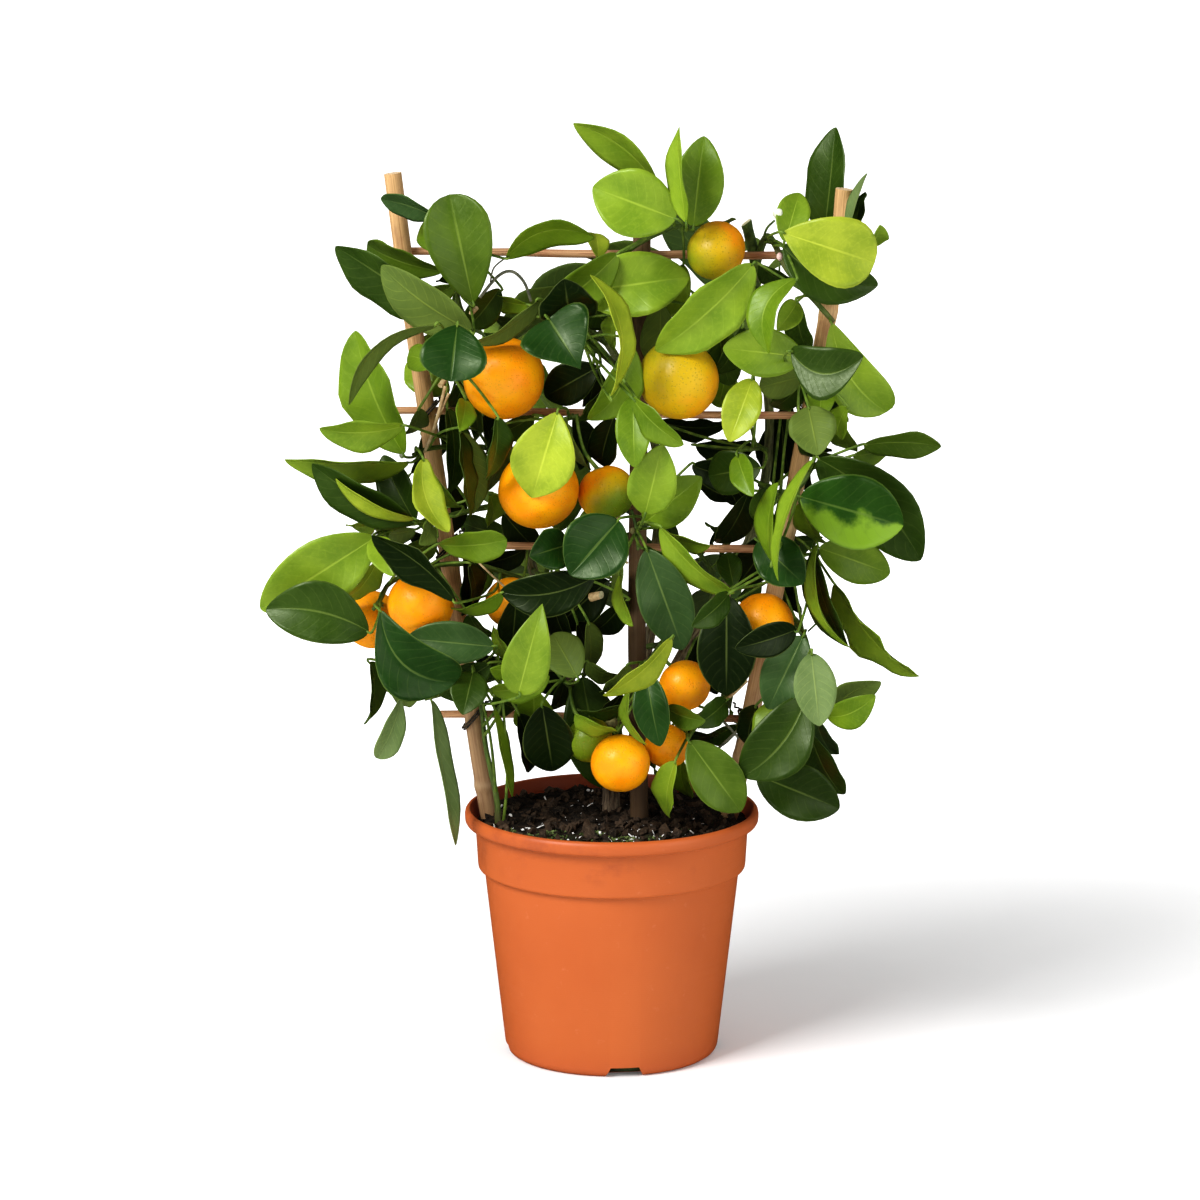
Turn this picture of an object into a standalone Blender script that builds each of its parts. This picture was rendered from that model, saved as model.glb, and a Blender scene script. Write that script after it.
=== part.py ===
"""Potted calamondin tree: nursery pot, soil, bamboo trellis, woody frame, leafy shoots and fruits.

Lengths here are in millimetres and become metres when a mesh is made. The origin is on the floor
under the middle of the pot, +X is to the right, +Y is away and +Z is up.

Leaves, shoots and fruits are set out on the upright plane through the pot's middle (x across, z up),
as seen from a standing point three metres in front. A third number, forward, moves the point along
that line of sight, toward the standing point when it is positive.
"""
import math

import bmesh
import bpy
from mathutils import Quaternion, Vector
from mathutils.bvhtree import BVHTree

MM = 0.001
STAND = Vector((-7.0, -3000.0, 898.0))
STAND_DISTANCE = 3000.0
GAP = 0.3

# Pot
POT_SIDES = 32
POT_OUTLINE = (
    (0, 0), (17, 0), (20.5, 6), (44, 6), (47.5, 0), (57.5, 0), (60.6, 1.4), (62, 4.6), (74, 109.5),
    (77.4, 111.5), (79, 136), (83.6, 136.6), (85, 138.4), (85, 142.8), (83.8, 144.7), (82.6, 145),
    (81.6, 143.6), (77.2, 134), (75.6, 112.8), (72.2, 110), (60.3, 5.2), (57.2, 2), (48.6, 2),
    (44.6, 8), (19.4, 8), (15.9, 2), (0, 2),
)
NOTCH_BOTTOM_WIDTH = 22.0
NOTCH_TOP_WIDTH = 16.0
NOTCH_HEIGHT = 6.0
NOTCH_INNER_RADIUS = 52.0
NOTCH_OUTER_RADIUS = 66.0
NOTCH_COUNT = 4
FRONT_NOTCH_TURN = 7.0

# Soil
SOIL_TOP = 139.0
SOIL_OUTLINE = (
    (0, 2.4), (15.5, 2.4), (19.1, 8.4), (44.9, 8.4), (48.9, 2.4), (57, 2.4), (59.9, 5.6),
    (71.8, 110.2), (75.2, 113), (76.8, 134), (78.6, SOIL_TOP), (0, SOIL_TOP),
)
SOCKET_SPARE = 0.3

# Trellis: the canes stand in one upright plane that is turned a little about the upright axis.
TRELLIS_Y_AT_MIDDLE = 2.0
TRELLIS_SLOPE = -0.08
CANE_RADIUS = 5.3
CANES = {
    "cane_left": (114, ((-70.8, 138), (-80.6, 203), (-113.2, 430), (-124, 514))),
    "cane_middle": (46, ((16, 138), (14.5, 240), (14.8, 302), (16, 427), (17.5, 500))),
    "cane_right": (46, ((66.7, 136), (76.3, 179), (122.5, 432), (131.5, 505))),
}
ROD_RADIUS = 2.3
RODS = {
    "rod_1": (196.8, -100, 90),
    "rod_2": (297, -101, 107),
    "rod_3": (375, -129, 122),
    "rod_4": (467, -126, 138),
}
TIE_RADIUS = 0.6
TIES = (
    ("cane_left", "rod_1"), ("cane_left", "rod_2"), ("cane_left", "rod_3"),
    ("cane_right", "rod_1"), ("cane_right", "rod_3"), ("cane_right", "rod_4"),
)

# Woody frame: radii at the foot and the end, then the route (x, z, forward).
TRUNK_ROUTE = ((-0.5, 110, -18), (-0.5, 143, -20), (0, 168, -23), (1, 188, -25.5))
TRUNK_RADII = (5.4, 4.0)
BRANCHES = {
    "branch_left": ("trunk", (3.4, 2.4), (
        (0, 162, -23), (-14, 190, -26), (-30, 238, -30), (-47, 291, -33), (-64, 355, -38),
        (-81, 419, -41), (-89, 442, -41))),
    "branch_right": ("trunk", (3.4, 2.4), (
        (0, 158, -23), (17, 192, -26), (45, 244, -27), (79, 303, -27), (90, 367, -27),
        (82, 442, -27), (82, 464, -27))),
    "branch_centre": ("trunk", (3.5, 2.3), (
        (1, 188, -25.5), (7, 201, -28), (16, 216, -29), (25, 267, -29), (25, 291, -28),
        (27, 343, -28), (16, 384, -28), (-7, 424, -28))),
}

# Shoots: carrier, radii, stem route (x, z, forward) whose first point is on the carrier's axis, then
# the leaves: base x, z, tip x, z, width across, layer, bow to the left of base to tip.
SHOOTS = {
    "shoot_top_centre": ("branch_centre", (2.2, 1.5), (
        (-3, 417, -28), (-15, 427, -14), (-24, 448, -4), (-12, 459, 4), (4, 467, 8), (20, 477, 11),
        (37, 484, 12), (45, 483, 13)), (
        (27, 503, -22, 542, 18, 2, -11), (36, 488, -11, 506, 40, 3, 0), (42, 486, 37, 540, 11, 4, -3),
        (46, 484, 52, 535, 29, 2, 0), (55, 485, 68, 487, 8, 1, 0), (-8, 466, -10, 480, 12, 1, 0),
        (3, 468, -38, 434, 24, 2, 0), (-20, 446, 44, 455, 38, 3, 0),
        (-16, 444, 4, 424, 14, 0, 0), (40, 462, 24, 430, 16, 1, 0))),
    "shoot_top_left": ("branch_left", (1.9, 1.3), (
        (-86, 434, -41), (-89, 448, -30), (-92, 460, -14), (-96, 472, 0), (-99, 484, 9)), (
        (-79, 440, -92, 502, 40, 3, 0), (-60, 466, -10, 477, 16, 3, 13), (-100, 489, -131, 499, 12, 2, -4),
        (-96, 458, -139, 473, 18, 2, 0), (-101, 431, -157, 472, 25, 2, -6),
        (-80, 424, -131, 461, 26, 5, 0),
        (-64, 448, -82, 426, 18, 1, 0), (-84, 462, -98, 452, 10, 1, 0),
        (-98, 470, -107, 486, 12, 1, 0), (-90, 450, -112, 444, 12, 1, 0))),
    "shoot_upper_centre": ("branch_centre", (2.0, 1.3), (
        (8, 398, -28), (2, 404, -12), (-4, 409, 2), (-14, 417, 9), (-26, 427, 13), (-34, 437, 14)), (
        (-42, 441, -81, 416, 9, 3, 0), (-48, 439, -70, 446, 9, 2, 0), (-46, 432, -68, 431, 9, 0, 0),
        (-24, 430, -27, 453, 34, 4, 0),
        (-36, 431, -18, 402, 44, 5, 0), (-1, 386, -11, 456, 10, 6, -6), (10, 417, -13, 372, 22, 4, 5),
        (-5, 390, -17, 372, 12, 3, 0), (12, 386, 13, 345, 20, 4, 0), (12, 385, 41, 358, 14, 4, 0),
        (-8, 403, -38, 386, 24, 1, 0), (2, 432, 2, 412, 8, 2, 0), (-11, 402, -15, 381, 12, -1, 0))),
    "shoot_upper_left": ("branch_left", (1.8, 1.2), (
        (-78, 408, -40), (-84, 411, -26), (-89, 412, -10), (-92, 410, 4), (-95, 401, 13)), (
        (-100, 427, -149, 380, 8, 5, -19), (-88, 427, -107, 417, 13, 3, 0),
        (-99, 405, -116, 410, 16, 3, 0), (-88, 427, -92, 395, 38, 5, 0),
        (-93, 388, -117, 405, 22, 3, 0), (-84, 384, -87, 366, 12, 4, 0), (-83, 386, -77, 361, 12, 3, 0),
        (-84, 398, -92, 380, 13, 2, 0), (-94, 379, -93, 330, 15, 1, 0),
        (-110, 379, -118, 364, 9, 1, 0), (-66, 374, -72, 338, 12, 1, 0), (-74, 376, -72, 352, 9, -1, 0))),
    "shoot_middle_left": ("branch_left", (1.8, 1.2), (
        (-64, 355, -38), (-77, 357, -22), (-91, 357, -4), (-104, 356, 8), (-114, 352, 13)), (
        (-119, 353, -146, 424, 30, 3, 0), (-119, 369, -167, 367, 17, 4, 0),
        (-116, 348, -187, 350, 14, 2, -3), (-108, 350, -94, 307, 17, 6, -8),
        (-86, 365, -79, 318, 14, 3, 0), (-87, 366, -81, 316, 8, 5, -4),
        (-108, 364, -116, 340, 9, 1, 0), (-98, 388, -99, 350, 10, -1, 0))),
    "shoot_lower_left": ("branch_left", (1.9, 1.2), (
        (-55, 322, -35), (-70, 322, -18), (-88, 318, 0), (-104, 314, 12), (-120, 311, 16),
        (-134, 305, 18)), (
        (-113, 313, -172, 346, 22, 4, -2), (-113, 315, -158, 338, 7, 5, 0),
        (-114, 315, -150, 335, 16, 3, 0), (-113, 314, -131, 352, 20, 3, 0),
        (-137, 313, -150, 311, 8, 2, 0), (-113, 309, -137, 309, 9, 2, 0),
        (-136, 304, -202, 262, 38, 3, -1), (-136, 304, -126, 282, 16, 4, 0),
        (-104, 313, -110, 300, 10, 4, 0), (-86, 322, -102, 340, 9, 4, 0),
        (-70, 329, -70, 312, 11, 3, 0),
        (-101, 304, -118, 294, 14, 1, 0), (-134, 292, -154, 267, 11, 2, 0),
        (-58, 306, -88, 314, 16, 1, 0), (-92, 336, -98, 302, 16, -2, 0), (-62, 318, -44, 298, 18, -2, 0),
        (-106, 304, -118, 308, 8, 0, 0), (-100, 294, -102, 279, 8, -1, 0))),
    "shoot_outer_left": ("branch_left", (1.8, 1.2), (
        (-42, 276, -32), (-58, 282, -14), (-78, 288, -2), (-100, 288, 6), (-118, 282, 12),
        (-128, 277, 16), (-133, 268, 24), (-137, 262, 33)), (
        (-99, 300, -60, 303, 18, 5, 0), (-90, 267, -138, 305, 18, 4, -8),
        (-140, 249, -199, 262, 36, 5, -5), (-133, 261, -90, 219, 38, 6, -13),
        (-76, 270, -74, 287, 14, 3, 0),
        (-50, 297, -76, 290, 12, 1, 0), (-82, 288, -80, 264, 9, 1, 0),
        (-82, 259, -70, 246, 10, 1, 0), (-84, 296, -85, 258, 14, -2, 0), (-104, 262, -96, 238, 14, 0, 0))),
    "shoot_bottom_left": ("branch_left", (1.8, 1.2), (
        (-26, 226, -29), (-42, 227, -12), (-62, 223, 2), (-84, 216, 11), (-108, 209, 15)), (
        (-122, 209, -136, 174, 14, 4, 0), (-104, 208, -90, 122, 9, 4, -7),
        (-139, 231, -142, 194, 9, 3, 0), (-112, 212, -129, 213, 9, 2, 0),
        (-54, 212, -40, 265, 27, 6, 0), (-68, 203, -58, 151, 6, 3, -4),
        (-70, 214, -36, 223, 14, 4, 0), (-68, 211, -54, 204, 12, 2, 0),
        (-54, 200, -48, 166, 15, 1, 0), (-70, 230, -100, 212, 20, 2, 0), (-58, 230, -82, 238, 10, -1, 0))),
    "sucker": ("soil", (2.0, 1.1), (
        (-65, 108, 12), (-66, 136, 12), (-66.5, 149, 10), (-70, 167, 6), (-73, 182, 2), (-76, 208, 0),
        (-83, 228, 2), (-82, 236, 6)), (
        (-68, 240, -118, 245, 25, 4, 0), (-80, 225, -86, 200, 22, 4, 0), (-54, 230, -70, 227, 9, 4, 0),
        (-58, 234, -68, 252, 7, 3, 0),
        (-66, 230, -79, 225, 12, 1, 0))),
    "shoot_inner_left": ("branch_left", (1.8, 1.2), (
        (-62, 347, -37), (-57, 354, -20), (-47, 364, 0), (-33, 371, 12), (-19, 375, 14)), (
        (-31, 377, -46, 327, 38, 6, 0), (-64, 368, -72, 330, 11, 3, 0),
        (-45, 375, -68, 365, 13, 0, 0), (1, 374, -6, 346, 18, 1, 0), (-26, 372, -12, 344, 8, 2, 0),
        (-22, 374, -17, 344, 14, -2, 0), (-66, 356, -58, 330, 14, -2, 0))),
    "shoot_low_inner_left": ("branch_left", (1.8, 1.2), (
        (-45, 285, -33), (-43, 283, -18), (-40, 281, -4), (-36, 281, 6), (-30, 284, 12)), (
        (-25, 300, -47, 293, 24, 5, 0), (-63, 272, -92, 262, 8, 3, 0), (-10, 281, -64, 272, 26, 3, 4),
        (-55, 269, -58, 238, 20, 3, 0),
        (-2, 279, -32, 252, 26, 1, 0), (8, 268, -12, 248, 15, 1, 0), (-14, 254, -16, 222, 11, 1, 0),
        (-34, 268, -22, 240, 14, -2, 0), (-20, 254, -17, 234, 10, -1, 0))),
    "shoot_centre": ("branch_centre", (1.9, 1.2), (
        (26, 318, -28), (26, 317, -14), (24, 314, 0), (18, 311, 9), (13, 307, 13)), (
        (19, 318, 29, 358, 28, 6, 0), (19, 313, 51, 339, 26, 4, 0), (4, 314, -24, 282, 40, 6, 0),
        (20, 297, 41, 238, 31, 6, 0), (18, 298, 48, 287, 12, 4, 0), (28, 310, 70, 271, 14, 5, 0),
        (5, 283, 12, 252, 7, 4, 0),
        (30, 309, 56, 299, 7, 4, 0), (46, 346, 80, 336, 20, 0, 0),
        (6, 290, 9, 262, 6, 2, 0))),
    "shoot_low_centre": ("branch_centre", (1.9, 1.3), (
        (20, 240, -29), (27, 241, -14), (29, 242, 2), (22, 232, 12), (12, 215, 17), (5, 199, 15)), (
        (34, 245, -5, 211, 12, 6, 0), (20, 225, 28, 181, 21, 6, 0), (14, 222, 19, 182, 5, 5, -5),
        (2, 190, -21, 200, 9, 4, 0), (8, 206, -20, 203, 6, 3, 0),
        (9, 229, -6, 213, 10, 3, 0), (5, 212, -4, 204, 9, 1, 0))),
    "shoot_low_left": ("branch_left", (1.8, 1.2), (
        (-19, 209, -27), (-22, 213, -12), (-25, 217, 0), (-29, 221, 9)), (
        (-20, 222, -34, 248, 24, 3, 0), (-17, 222, -5, 156, 34, -2, 0),
        (-45, 215, -45, 189, 24, 3, 0), (-40, 205, -34, 166, 30, 2, 0),
        (-28, 220, -34, 203, 12, 1, 0), (-46, 240, -32, 212, 20, -1, 0), (-14, 231, 6, 222, 9, 1, 0))),
    "shoot_low_right": ("branch_right", (1.9, 1.3), (
        (25, 213, -26), (33, 211, -13), (40, 206, 0), (47, 199, 10), (51, 192, 14)), (
        (33, 203, 54, 196, 13, 5, 0), (66, 208, 48, 193, 14, 4, 0), (45, 184, 75, 142, 30, 6, 0),
        (37, 172, 33, 139, 13, 2, 0), (40, 175, 45, 151, 13, 1, 0), (70, 212, 70, 201, 5, 2, 0),
        (72, 194, 46, 186, 9, 1, 0), (52, 250, 60, 212, 16, -1, 0), (42, 191, 60, 187, 8, 0, 0),
        (25, 181, 26, 166, 7, 0, 0))),
    "shoot_bottom_right": ("branch_right", (2.0, 1.4), (
        (56, 262, -27), (72, 263, -14), (90, 262, -8), (103, 258, 4), (110, 248, 13), (114, 232, 17),
        (113, 212, 17), (108, 194, 15)), (
        (110, 246, 90, 203, 28, 5, 0), (115, 236, 120, 193, 24, 6, 0), (129, 203, 155, 219, 16, 4, 5),
        (124, 199, 152, 211, 18, 5, -3), (95, 210, 88, 173, 15, 4, 0), (112, 210, 75, 163, 36, 4, 6),
        (84, 164, 132, 144, 33, 3, 0), (115, 188, 134, 152, 18, 2, 0), (118, 197, 129, 176, 14, 1, 0),
        (84, 205, 80, 178, 12, 3, 0),
        (98, 275, 107, 252, 9, 1, 0), (105, 277, 109, 259, 9, 0, 0))),
    "shoot_lower_right": ("branch_right", (1.9, 1.3), (
        (74, 290, -27), (86, 287, -14), (97, 286, -8), (107, 287, 4), (115, 291, 13), (120, 297, 17)), (
        (119, 298, 160, 283, 25, 3, 0), (118, 300, 137, 239, 6, 5, -5), (128, 277, 176, 221, 14, 3, 1),
        (116, 296, 136, 240, 15, 4, 0), (84, 302, 110, 277, 28, 4, 0), (66, 270, 66, 211, 34, 6, 0),
        (67, 271, 46, 252, 14, 7, 0), (106, 250, 71, 239, 19, 7, 0), (94, 308, 72, 276, 22, -2, 0),
        (70, 275, 66, 295, 14, 3, 0),
        (72, 268, 86, 281, 10, 1, 0), (117, 293, 124, 270, 8, 3, 0), (104, 304, 119, 303, 10, 1, 0))),
    "shoot_middle_right": ("branch_right", (1.9, 1.3), (
        (85, 335, -27), (91, 333, -12), (92, 330, 6), (98, 328, 19), (108, 334, 22), (116, 348, 21)), (
        (144, 358, 188, 357, 15, 2, 5), (138, 352, 161, 359, 11, 3, 0), (118, 350, 177, 290, 38, 2, 10),
        (108, 328, 167, 311, 43, 5, 0), (109, 341, 97, 305, 5, 7, 0), (115, 349, 94, 279, 7, 7, 0),
        (92, 290, 95, 336, 10, 5, 0), (90, 308, 88, 333, 14, 4, 0),
        (108, 324, 124, 300, 9, 2, 0), (96, 371, 94, 334, 16, 1, 0), (78, 330, 61, 300, 17, 1, 0),
        (102, 382, 102, 338, 17, -2, 0), (64, 344, 82, 322, 14, -3, 0),
        (111, 348, 115, 328, 10, -1, 0), (119, 354, 140, 350, 8, 1, 0), (73, 309, 54, 313, 5, 1, 0))),
    "shoot_inner_right": ("branch_right", (1.8, 1.2), (
        (88, 355, -27), (86, 356, -12), (82, 356, 0), (79, 355, 9)), (
        (80, 396, 67, 360, 22, 4, 0), (85, 345, 55, 340, 26, 2, 0), (72, 352, 81, 328, 14, 4, 0),
        (66, 404, 61, 380, 18, 1, 0), (26, 372, 66, 370, 13, 0, 0),
        (48, 358, 82, 356, 16, -1, 0), (52, 346, 70, 324, 12, -2, 0))),
    "shoot_upper_right": ("branch_right", (1.9, 1.3), (
        (86, 405, -27), (92, 408, -12), (98, 411, 2), (105, 408, 15), (111, 400, 22)), (
        (108, 409, 63, 414, 28, 4, 0), (102, 412, 143, 409, 30, 6, -11), (110, 398, 84, 391, 18, 3, 0),
        (120, 392, 118, 372, 16, 4, 0), (134, 380, 129, 363, 13, 3, 0), (112, 380, 118, 352, 27, 5, 0),
        (130, 372, 138, 355, 12, 2, 0),
        (108, 394, 92, 380, 13, 1, 0), (124, 392, 134, 372, 10, 2, 0),
        (108, 362, 124, 354, 10, 2, 0), (117, 405, 121, 374, 20, 1, 0))),
    "shoot_top_right": ("branch_right", (2.2, 1.5), (
        (82, 461, -27), (85, 473, -18), (88, 478, -8), (92, 474, 2), (97, 463, 9), (104, 453, 15),
        (110, 447, 22), (118, 438, 26), (126, 429, 26)), (
        (98, 475, 106, 503, 19, 2, 0), (97, 480, 149, 463, 40, 5, 0), (97, 472, 151, 450, 30, 3, -7),
        (104, 454, 89, 411, 18, 4, -8), (105, 440, 94, 424, 14, 5, 0), (105, 441, 112, 412, 14, 3, 0),
        (125, 428, 157, 377, 31, 3, -7), (120, 478, 126, 540, 23, -3, -4), (139, 478, 143, 503, 10, -1, 0),
        (134, 483, 144, 514, 5, 2, -2),
        (84, 462, 99, 453, 11, 1, 0), (144, 472, 152, 484, 8, 4, 0))),
    "shoot_behind_fruit": ("branch_right", (1.9, 1.3), (
        (83, 449, -27), (81, 451, -13), (76, 446, 0), (68, 434, 6), (60, 424, 8), (54, 412, 8)), (
        (80, 462, 25, 412, 32, 4, 0),
        (74, 426, 58, 398, 13, 1, 0), (28, 440, 30, 398, 22, -1, 0), (60, 432, 67, 392, 22, -1, 0))),
}
LAYER_START = 12.0
LAYER_STEP = 7.0
FRONT_LAYER = 4

# Rear shoots: carrier, radii, stem route, number of leaves, angle of the first leaf about the stem.
REAR_SHOOTS = {
    "shoot_rear_upper_left": ("branch_left", (1.9, 1.2), (
        (-77, 402, -40), (-70, 409, -56), (-58, 418, -74), (-46, 426, -88)), 8, 0),
    "shoot_rear_upper_right": ("branch_right", (1.9, 1.2), (
        (85, 425, -27), (77, 434, -44), (62, 441, -64), (46, 445, -84)), 8, 60),
    "shoot_rear_lower_left": ("branch_left", (1.9, 1.2), (
        (-40, 268, -31), (-38, 278, -48), (-36, 290, -68), (-30, 300, -88)), 8, 120),
    "shoot_rear_lower_right": ("branch_right", (1.9, 1.2), (
        (58, 267, -27), (60, 276, -46), (54, 290, -68), (44, 300, -88)), 8, 30),
}
REAR_LENGTHS = (58, 50, 64, 46, 54)
REAR_WIDTH_SHARE = 0.5
GOLDEN_ANGLE = 137.5
REAR_TRIES = 24

# Leaves
LEAF_THICKNESS = 1.0
LEAF_ARCH = 0.08
LEAF_FOLD = 0.30
PETIOLE_RADIUS = 1.0
PETIOLE_STARTS = 13
START_SHIFT = 0.54
SHARPEST_TURN = -0.5
FULL_LENGTH = 50.0
MOST_LEAN = 24.0
WIDTH_SHARE = 0.5
MOST_NARROWED = 0.36
OUTWARD_TURN = 0.35
CARRY_STEP = 2.0
CARRY_STEPS = 45
LONG_OUTLINE = ((0.18, 0.72), (0.50, 1.0), (0.86, 0.72))
SHORT_OUTLINE = ((0.30, 0.94), (0.76, 0.84))
SHORT_LENGTH = 36.0

# Fruits: x, z, diameter, forward, carrier, and the point that the stalk aims at.
FRUITS = (
    (59, 470, 34, 18, "shoot_top_centre", (45, 483, 13)),
    (-61.5, 396.5, 47, 24, "shoot_upper_left", (-89, 412, -10)),
    (38, 396, 46, 33, "shoot_behind_fruit", (55, 413, 8)),
    (-42, 332, 46, 30, "shoot_inner_left", (-48, 363, -1)),
    (-3, 330, 33, 20, "shoot_inner_left", (-20, 375, 14)),
    (-110, 265, 38, 24, "shoot_outer_left", (-106, 287, 8)),
    (-138, 256, 34, -8, "shoot_outer_left", (-126, 278, 15)),
    (-58, 266, 30, 2, "shoot_outer_left", (-62, 283, -12)),
    (87, 253, 36, 32, "shoot_bottom_right", (105, 255, 7)),
    (42, 217, 30, 25, "shoot_low_centre", (28, 241, 4)),
    (5, 171, 34, 45, "shoot_low_centre", (5, 200, 15)),
    (32, 181, 26, 28, "shoot_low_right", (38, 207, -3)),
    (-13, 185, 27, 22, "shoot_low_left", (-24, 216, 0)),
)
FRUIT_SIDES = 10
FRUIT_ROWS = 6
FRUIT_SQUASH = 0.94
STALK_RADIUS = 1.3
CALYX_RADIUS = 3.2

COLOURS = {
    "pot": (0.80, 0.30, 0.10), "soil": (0.05, 0.035, 0.025), "cane": (0.45, 0.27, 0.13),
    "rod": (0.42, 0.26, 0.14), "tie": (0.05, 0.04, 0.035), "trunk": (0.20, 0.14, 0.08),
    "branch": (0.20, 0.16, 0.08), "shoot": (0.14, 0.33, 0.04), "sucker": (0.22, 0.36, 0.08),
    "fruit": (0.90, 0.38, 0.02),
}
ROUGHNESSES = {"pot": 0.45, "soil": 0.95, "cane": 0.55, "rod": 0.6, "fruit": 0.35, "shoot": 0.35}


def seen(x, z, forward=0.0):
    """The point that covers (x, z) of the upright plane, moved forward along the line of sight."""
    on_plane = Vector((x, 0.0, z))
    return on_plane + (STAND - on_plane) * (forward / STAND_DISTANCE)


def on_trellis(x, z):
    """The point of the trellis plane that covers (x, z) of the upright plane."""
    start = Vector((x, 0.0, z))
    sight = STAND - start
    reach = (TRELLIS_Y_AT_MIDDLE + TRELLIS_SLOPE * start.x) / (sight.y - TRELLIS_SLOPE * sight.x)
    return start + sight * reach


def skin(rings, start_point=None, end_point=None):
    """Joins rings of equal count into a closed solid. An end with no point of its own is flat."""
    count = len(rings[0])
    points = [point for ring in rings for point in ring]
    faces = []
    for row in range(len(rings) - 1):
        for i in range(count):
            j = (i + 1) % count
            low, high = row * count, (row + 1) * count
            faces.append((low + i, low + j, high + j, high + i))
    last = (len(rings) - 1) * count
    for point, first, flip in ((start_point, 0, True), (end_point, last, False)):
        loop = list(range(first, first + count))
        loop = loop[::-1] if flip else loop
        if point is None:
            faces.append(tuple(loop))
            continue
        points.append(point)
        for i in range(count):
            faces.append((loop[i], loop[(i + 1) % count], len(points) - 1))
    return points, faces


def lathe(outline, sides):
    """Turns an outline that starts and ends on the upright axis into a closed solid."""
    rings = []
    for radius, z in outline[1:-1]:
        angles = [2 * math.pi * i / sides for i in range(sides)]
        rings.append([Vector((radius * math.cos(a), radius * math.sin(a), z)) for a in angles])
    return skin(rings, Vector((0, 0, outline[0][1])), Vector((0, 0, outline[-1][1])))


def along_route(route, share):
    """The point at this share of the route's length."""
    lengths = [(b - a).length for a, b in zip(route, route[1:])]
    left = share * sum(lengths)
    for (a, b), length in zip(zip(route, route[1:]), lengths):
        if left <= length:
            return a.lerp(b, left / length)
        left -= length
    return route[-1]


def tube(route, radii, sides):
    """A round tube along the route, tapering from the first radius to the second, with flat ends."""
    heading = (route[1] - route[0]).normalized()
    across = heading.orthogonal().normalized()
    rings = []
    for row, point in enumerate(route):
        before = route[max(row - 1, 0)]
        after = route[min(row + 1, len(route) - 1)]
        turned = (after - before).normalized()
        across = heading.rotation_difference(turned) @ across
        heading = turned
        radius = radii[0] + (radii[1] - radii[0]) * row / (len(route) - 1)
        ring = []
        for i in range(sides):
            spin = Quaternion(heading, 2 * math.pi * i / sides)
            ring.append(point + spin @ across * radius)
        rings.append(ring)
    return skin(rings)


def tree_of(solid):
    return BVHTree.FromPolygons(solid[0], solid[1])


def clear_start(carrier, axis_point, outer_point, radius):
    """The point on the way from the carrier's axis outward whose flat end stands one gap clear of it."""
    way = outer_point - axis_point
    heading = way.normalized()
    across = heading.orthogonal().normalized()
    corners = [Quaternion(heading, math.pi * i / 4) @ across * radius for i in range(8)]
    corners.append(Vector((0, 0, 0)))
    low, high = 0.0, way.length
    exit_hit = carrier.ray_cast(outer_point, -heading)
    if exit_hit[0] is not None:
        low = (exit_hit[0] - axis_point).length
    for _ in range(24):
        middle = (low + high) / 2
        centre = axis_point + heading * middle
        nearest = min(carrier.find_nearest(centre + corner)[3] for corner in corners)
        if nearest < GAP:
            low = middle
        else:
            high = middle
    return axis_point + heading * high


def leaf_frame(row, forward):
    """Base, tip, direction that the upper face looks in, bow and full width of one set-out leaf."""
    x0, z0, x1, z1, width, layer, bow = row
    seen_length = math.hypot(x1 - x0, z1 - z0)
    lean = min(MOST_LEAN, 0.5 * math.sqrt(max(0.0, FULL_LENGTH ** 2 - seen_length ** 2)))
    lean = lean if layer >= FRONT_LAYER else -lean
    base = seen(x0, z0, forward)
    tip = seen(x1, z1, forward + lean)
    along = (tip - base).normalized()
    side = along.cross(STAND - base).normalized()
    facing = side.cross(along)
    full_width = min(max(width, WIDTH_SHARE * (tip - base).length), width / MOST_NARROWED)
    outward = Vector((math.copysign(OUTWARD_TURN, x0), 0, 1))
    turn = math.copysign(math.acos(width / full_width), side.dot(outward))
    return base, tip, Quaternion(along, -turn) @ facing, side * -bow, full_width


def blade_rings(base, tip, facing, bow, width, thickness):
    """Four-point rings of a leaf blade: left edge, upper face, right edge, lower face."""
    length = (tip - base).length
    along = (tip - base).normalized()
    across = along.cross(facing).normalized()
    facing = across.cross(along)
    outline = LONG_OUTLINE if length > SHORT_LENGTH else SHORT_OUTLINE
    rings = []
    for share, wide in outline:
        swell = 4 * share * (1 - share)
        centre = base + along * length * share + bow * swell + facing * (LEAF_ARCH * length * swell)
        half = 0.5 * width * wide
        rise = facing * half * math.sin(LEAF_FOLD)
        reach = across * half * math.cos(LEAF_FOLD)
        middle = facing * (thickness / 2)
        rings.append([centre - reach + rise, centre + middle, centre + reach + rise, centre - middle])
    return rings


def petiole_rings(base, tip, facing, start, radius):
    """Rings of the leaf stalk, from its start inside the stem to the foot of the blade."""
    along = (tip - base).normalized()
    across = along.cross(facing).normalized()
    facing = across.cross(along)
    frame = [-across * radius, facing * radius, across * radius, -facing * radius]
    way = (base - start).normalized()
    halfway = along.rotation_difference((along + way).normalized())
    whole = along.rotation_difference(way)
    return [[start + whole @ offset for offset in frame], [base + halfway @ offset for offset in frame]]


class Clearance:
    """Keeps a search tree of every finished solid and tells whether a new one would touch any."""

    def __init__(self):
        self.kept = []
        self.balls = []

    def add(self, owner, kind, solid):
        self.kept.append((owner, kind, tree_of(solid)))

    def free(self, solid, skip):
        tree = tree_of(solid)
        if any(not skip(owner, kind) and tree.overlap(other) for owner, kind, other in self.kept):
            return False
        return all((point - centre).length > radius for centre, radius in self.balls for point in solid[0])

    def hidden(self, points):
        """Whether every point is covered by something, as seen from the standing point."""
        for point in points:
            sight = (STAND - point).normalized()
            if not any(other.ray_cast(point, sight)[0] for owner, kind, other in self.kept):
                return False
        return True


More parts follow.
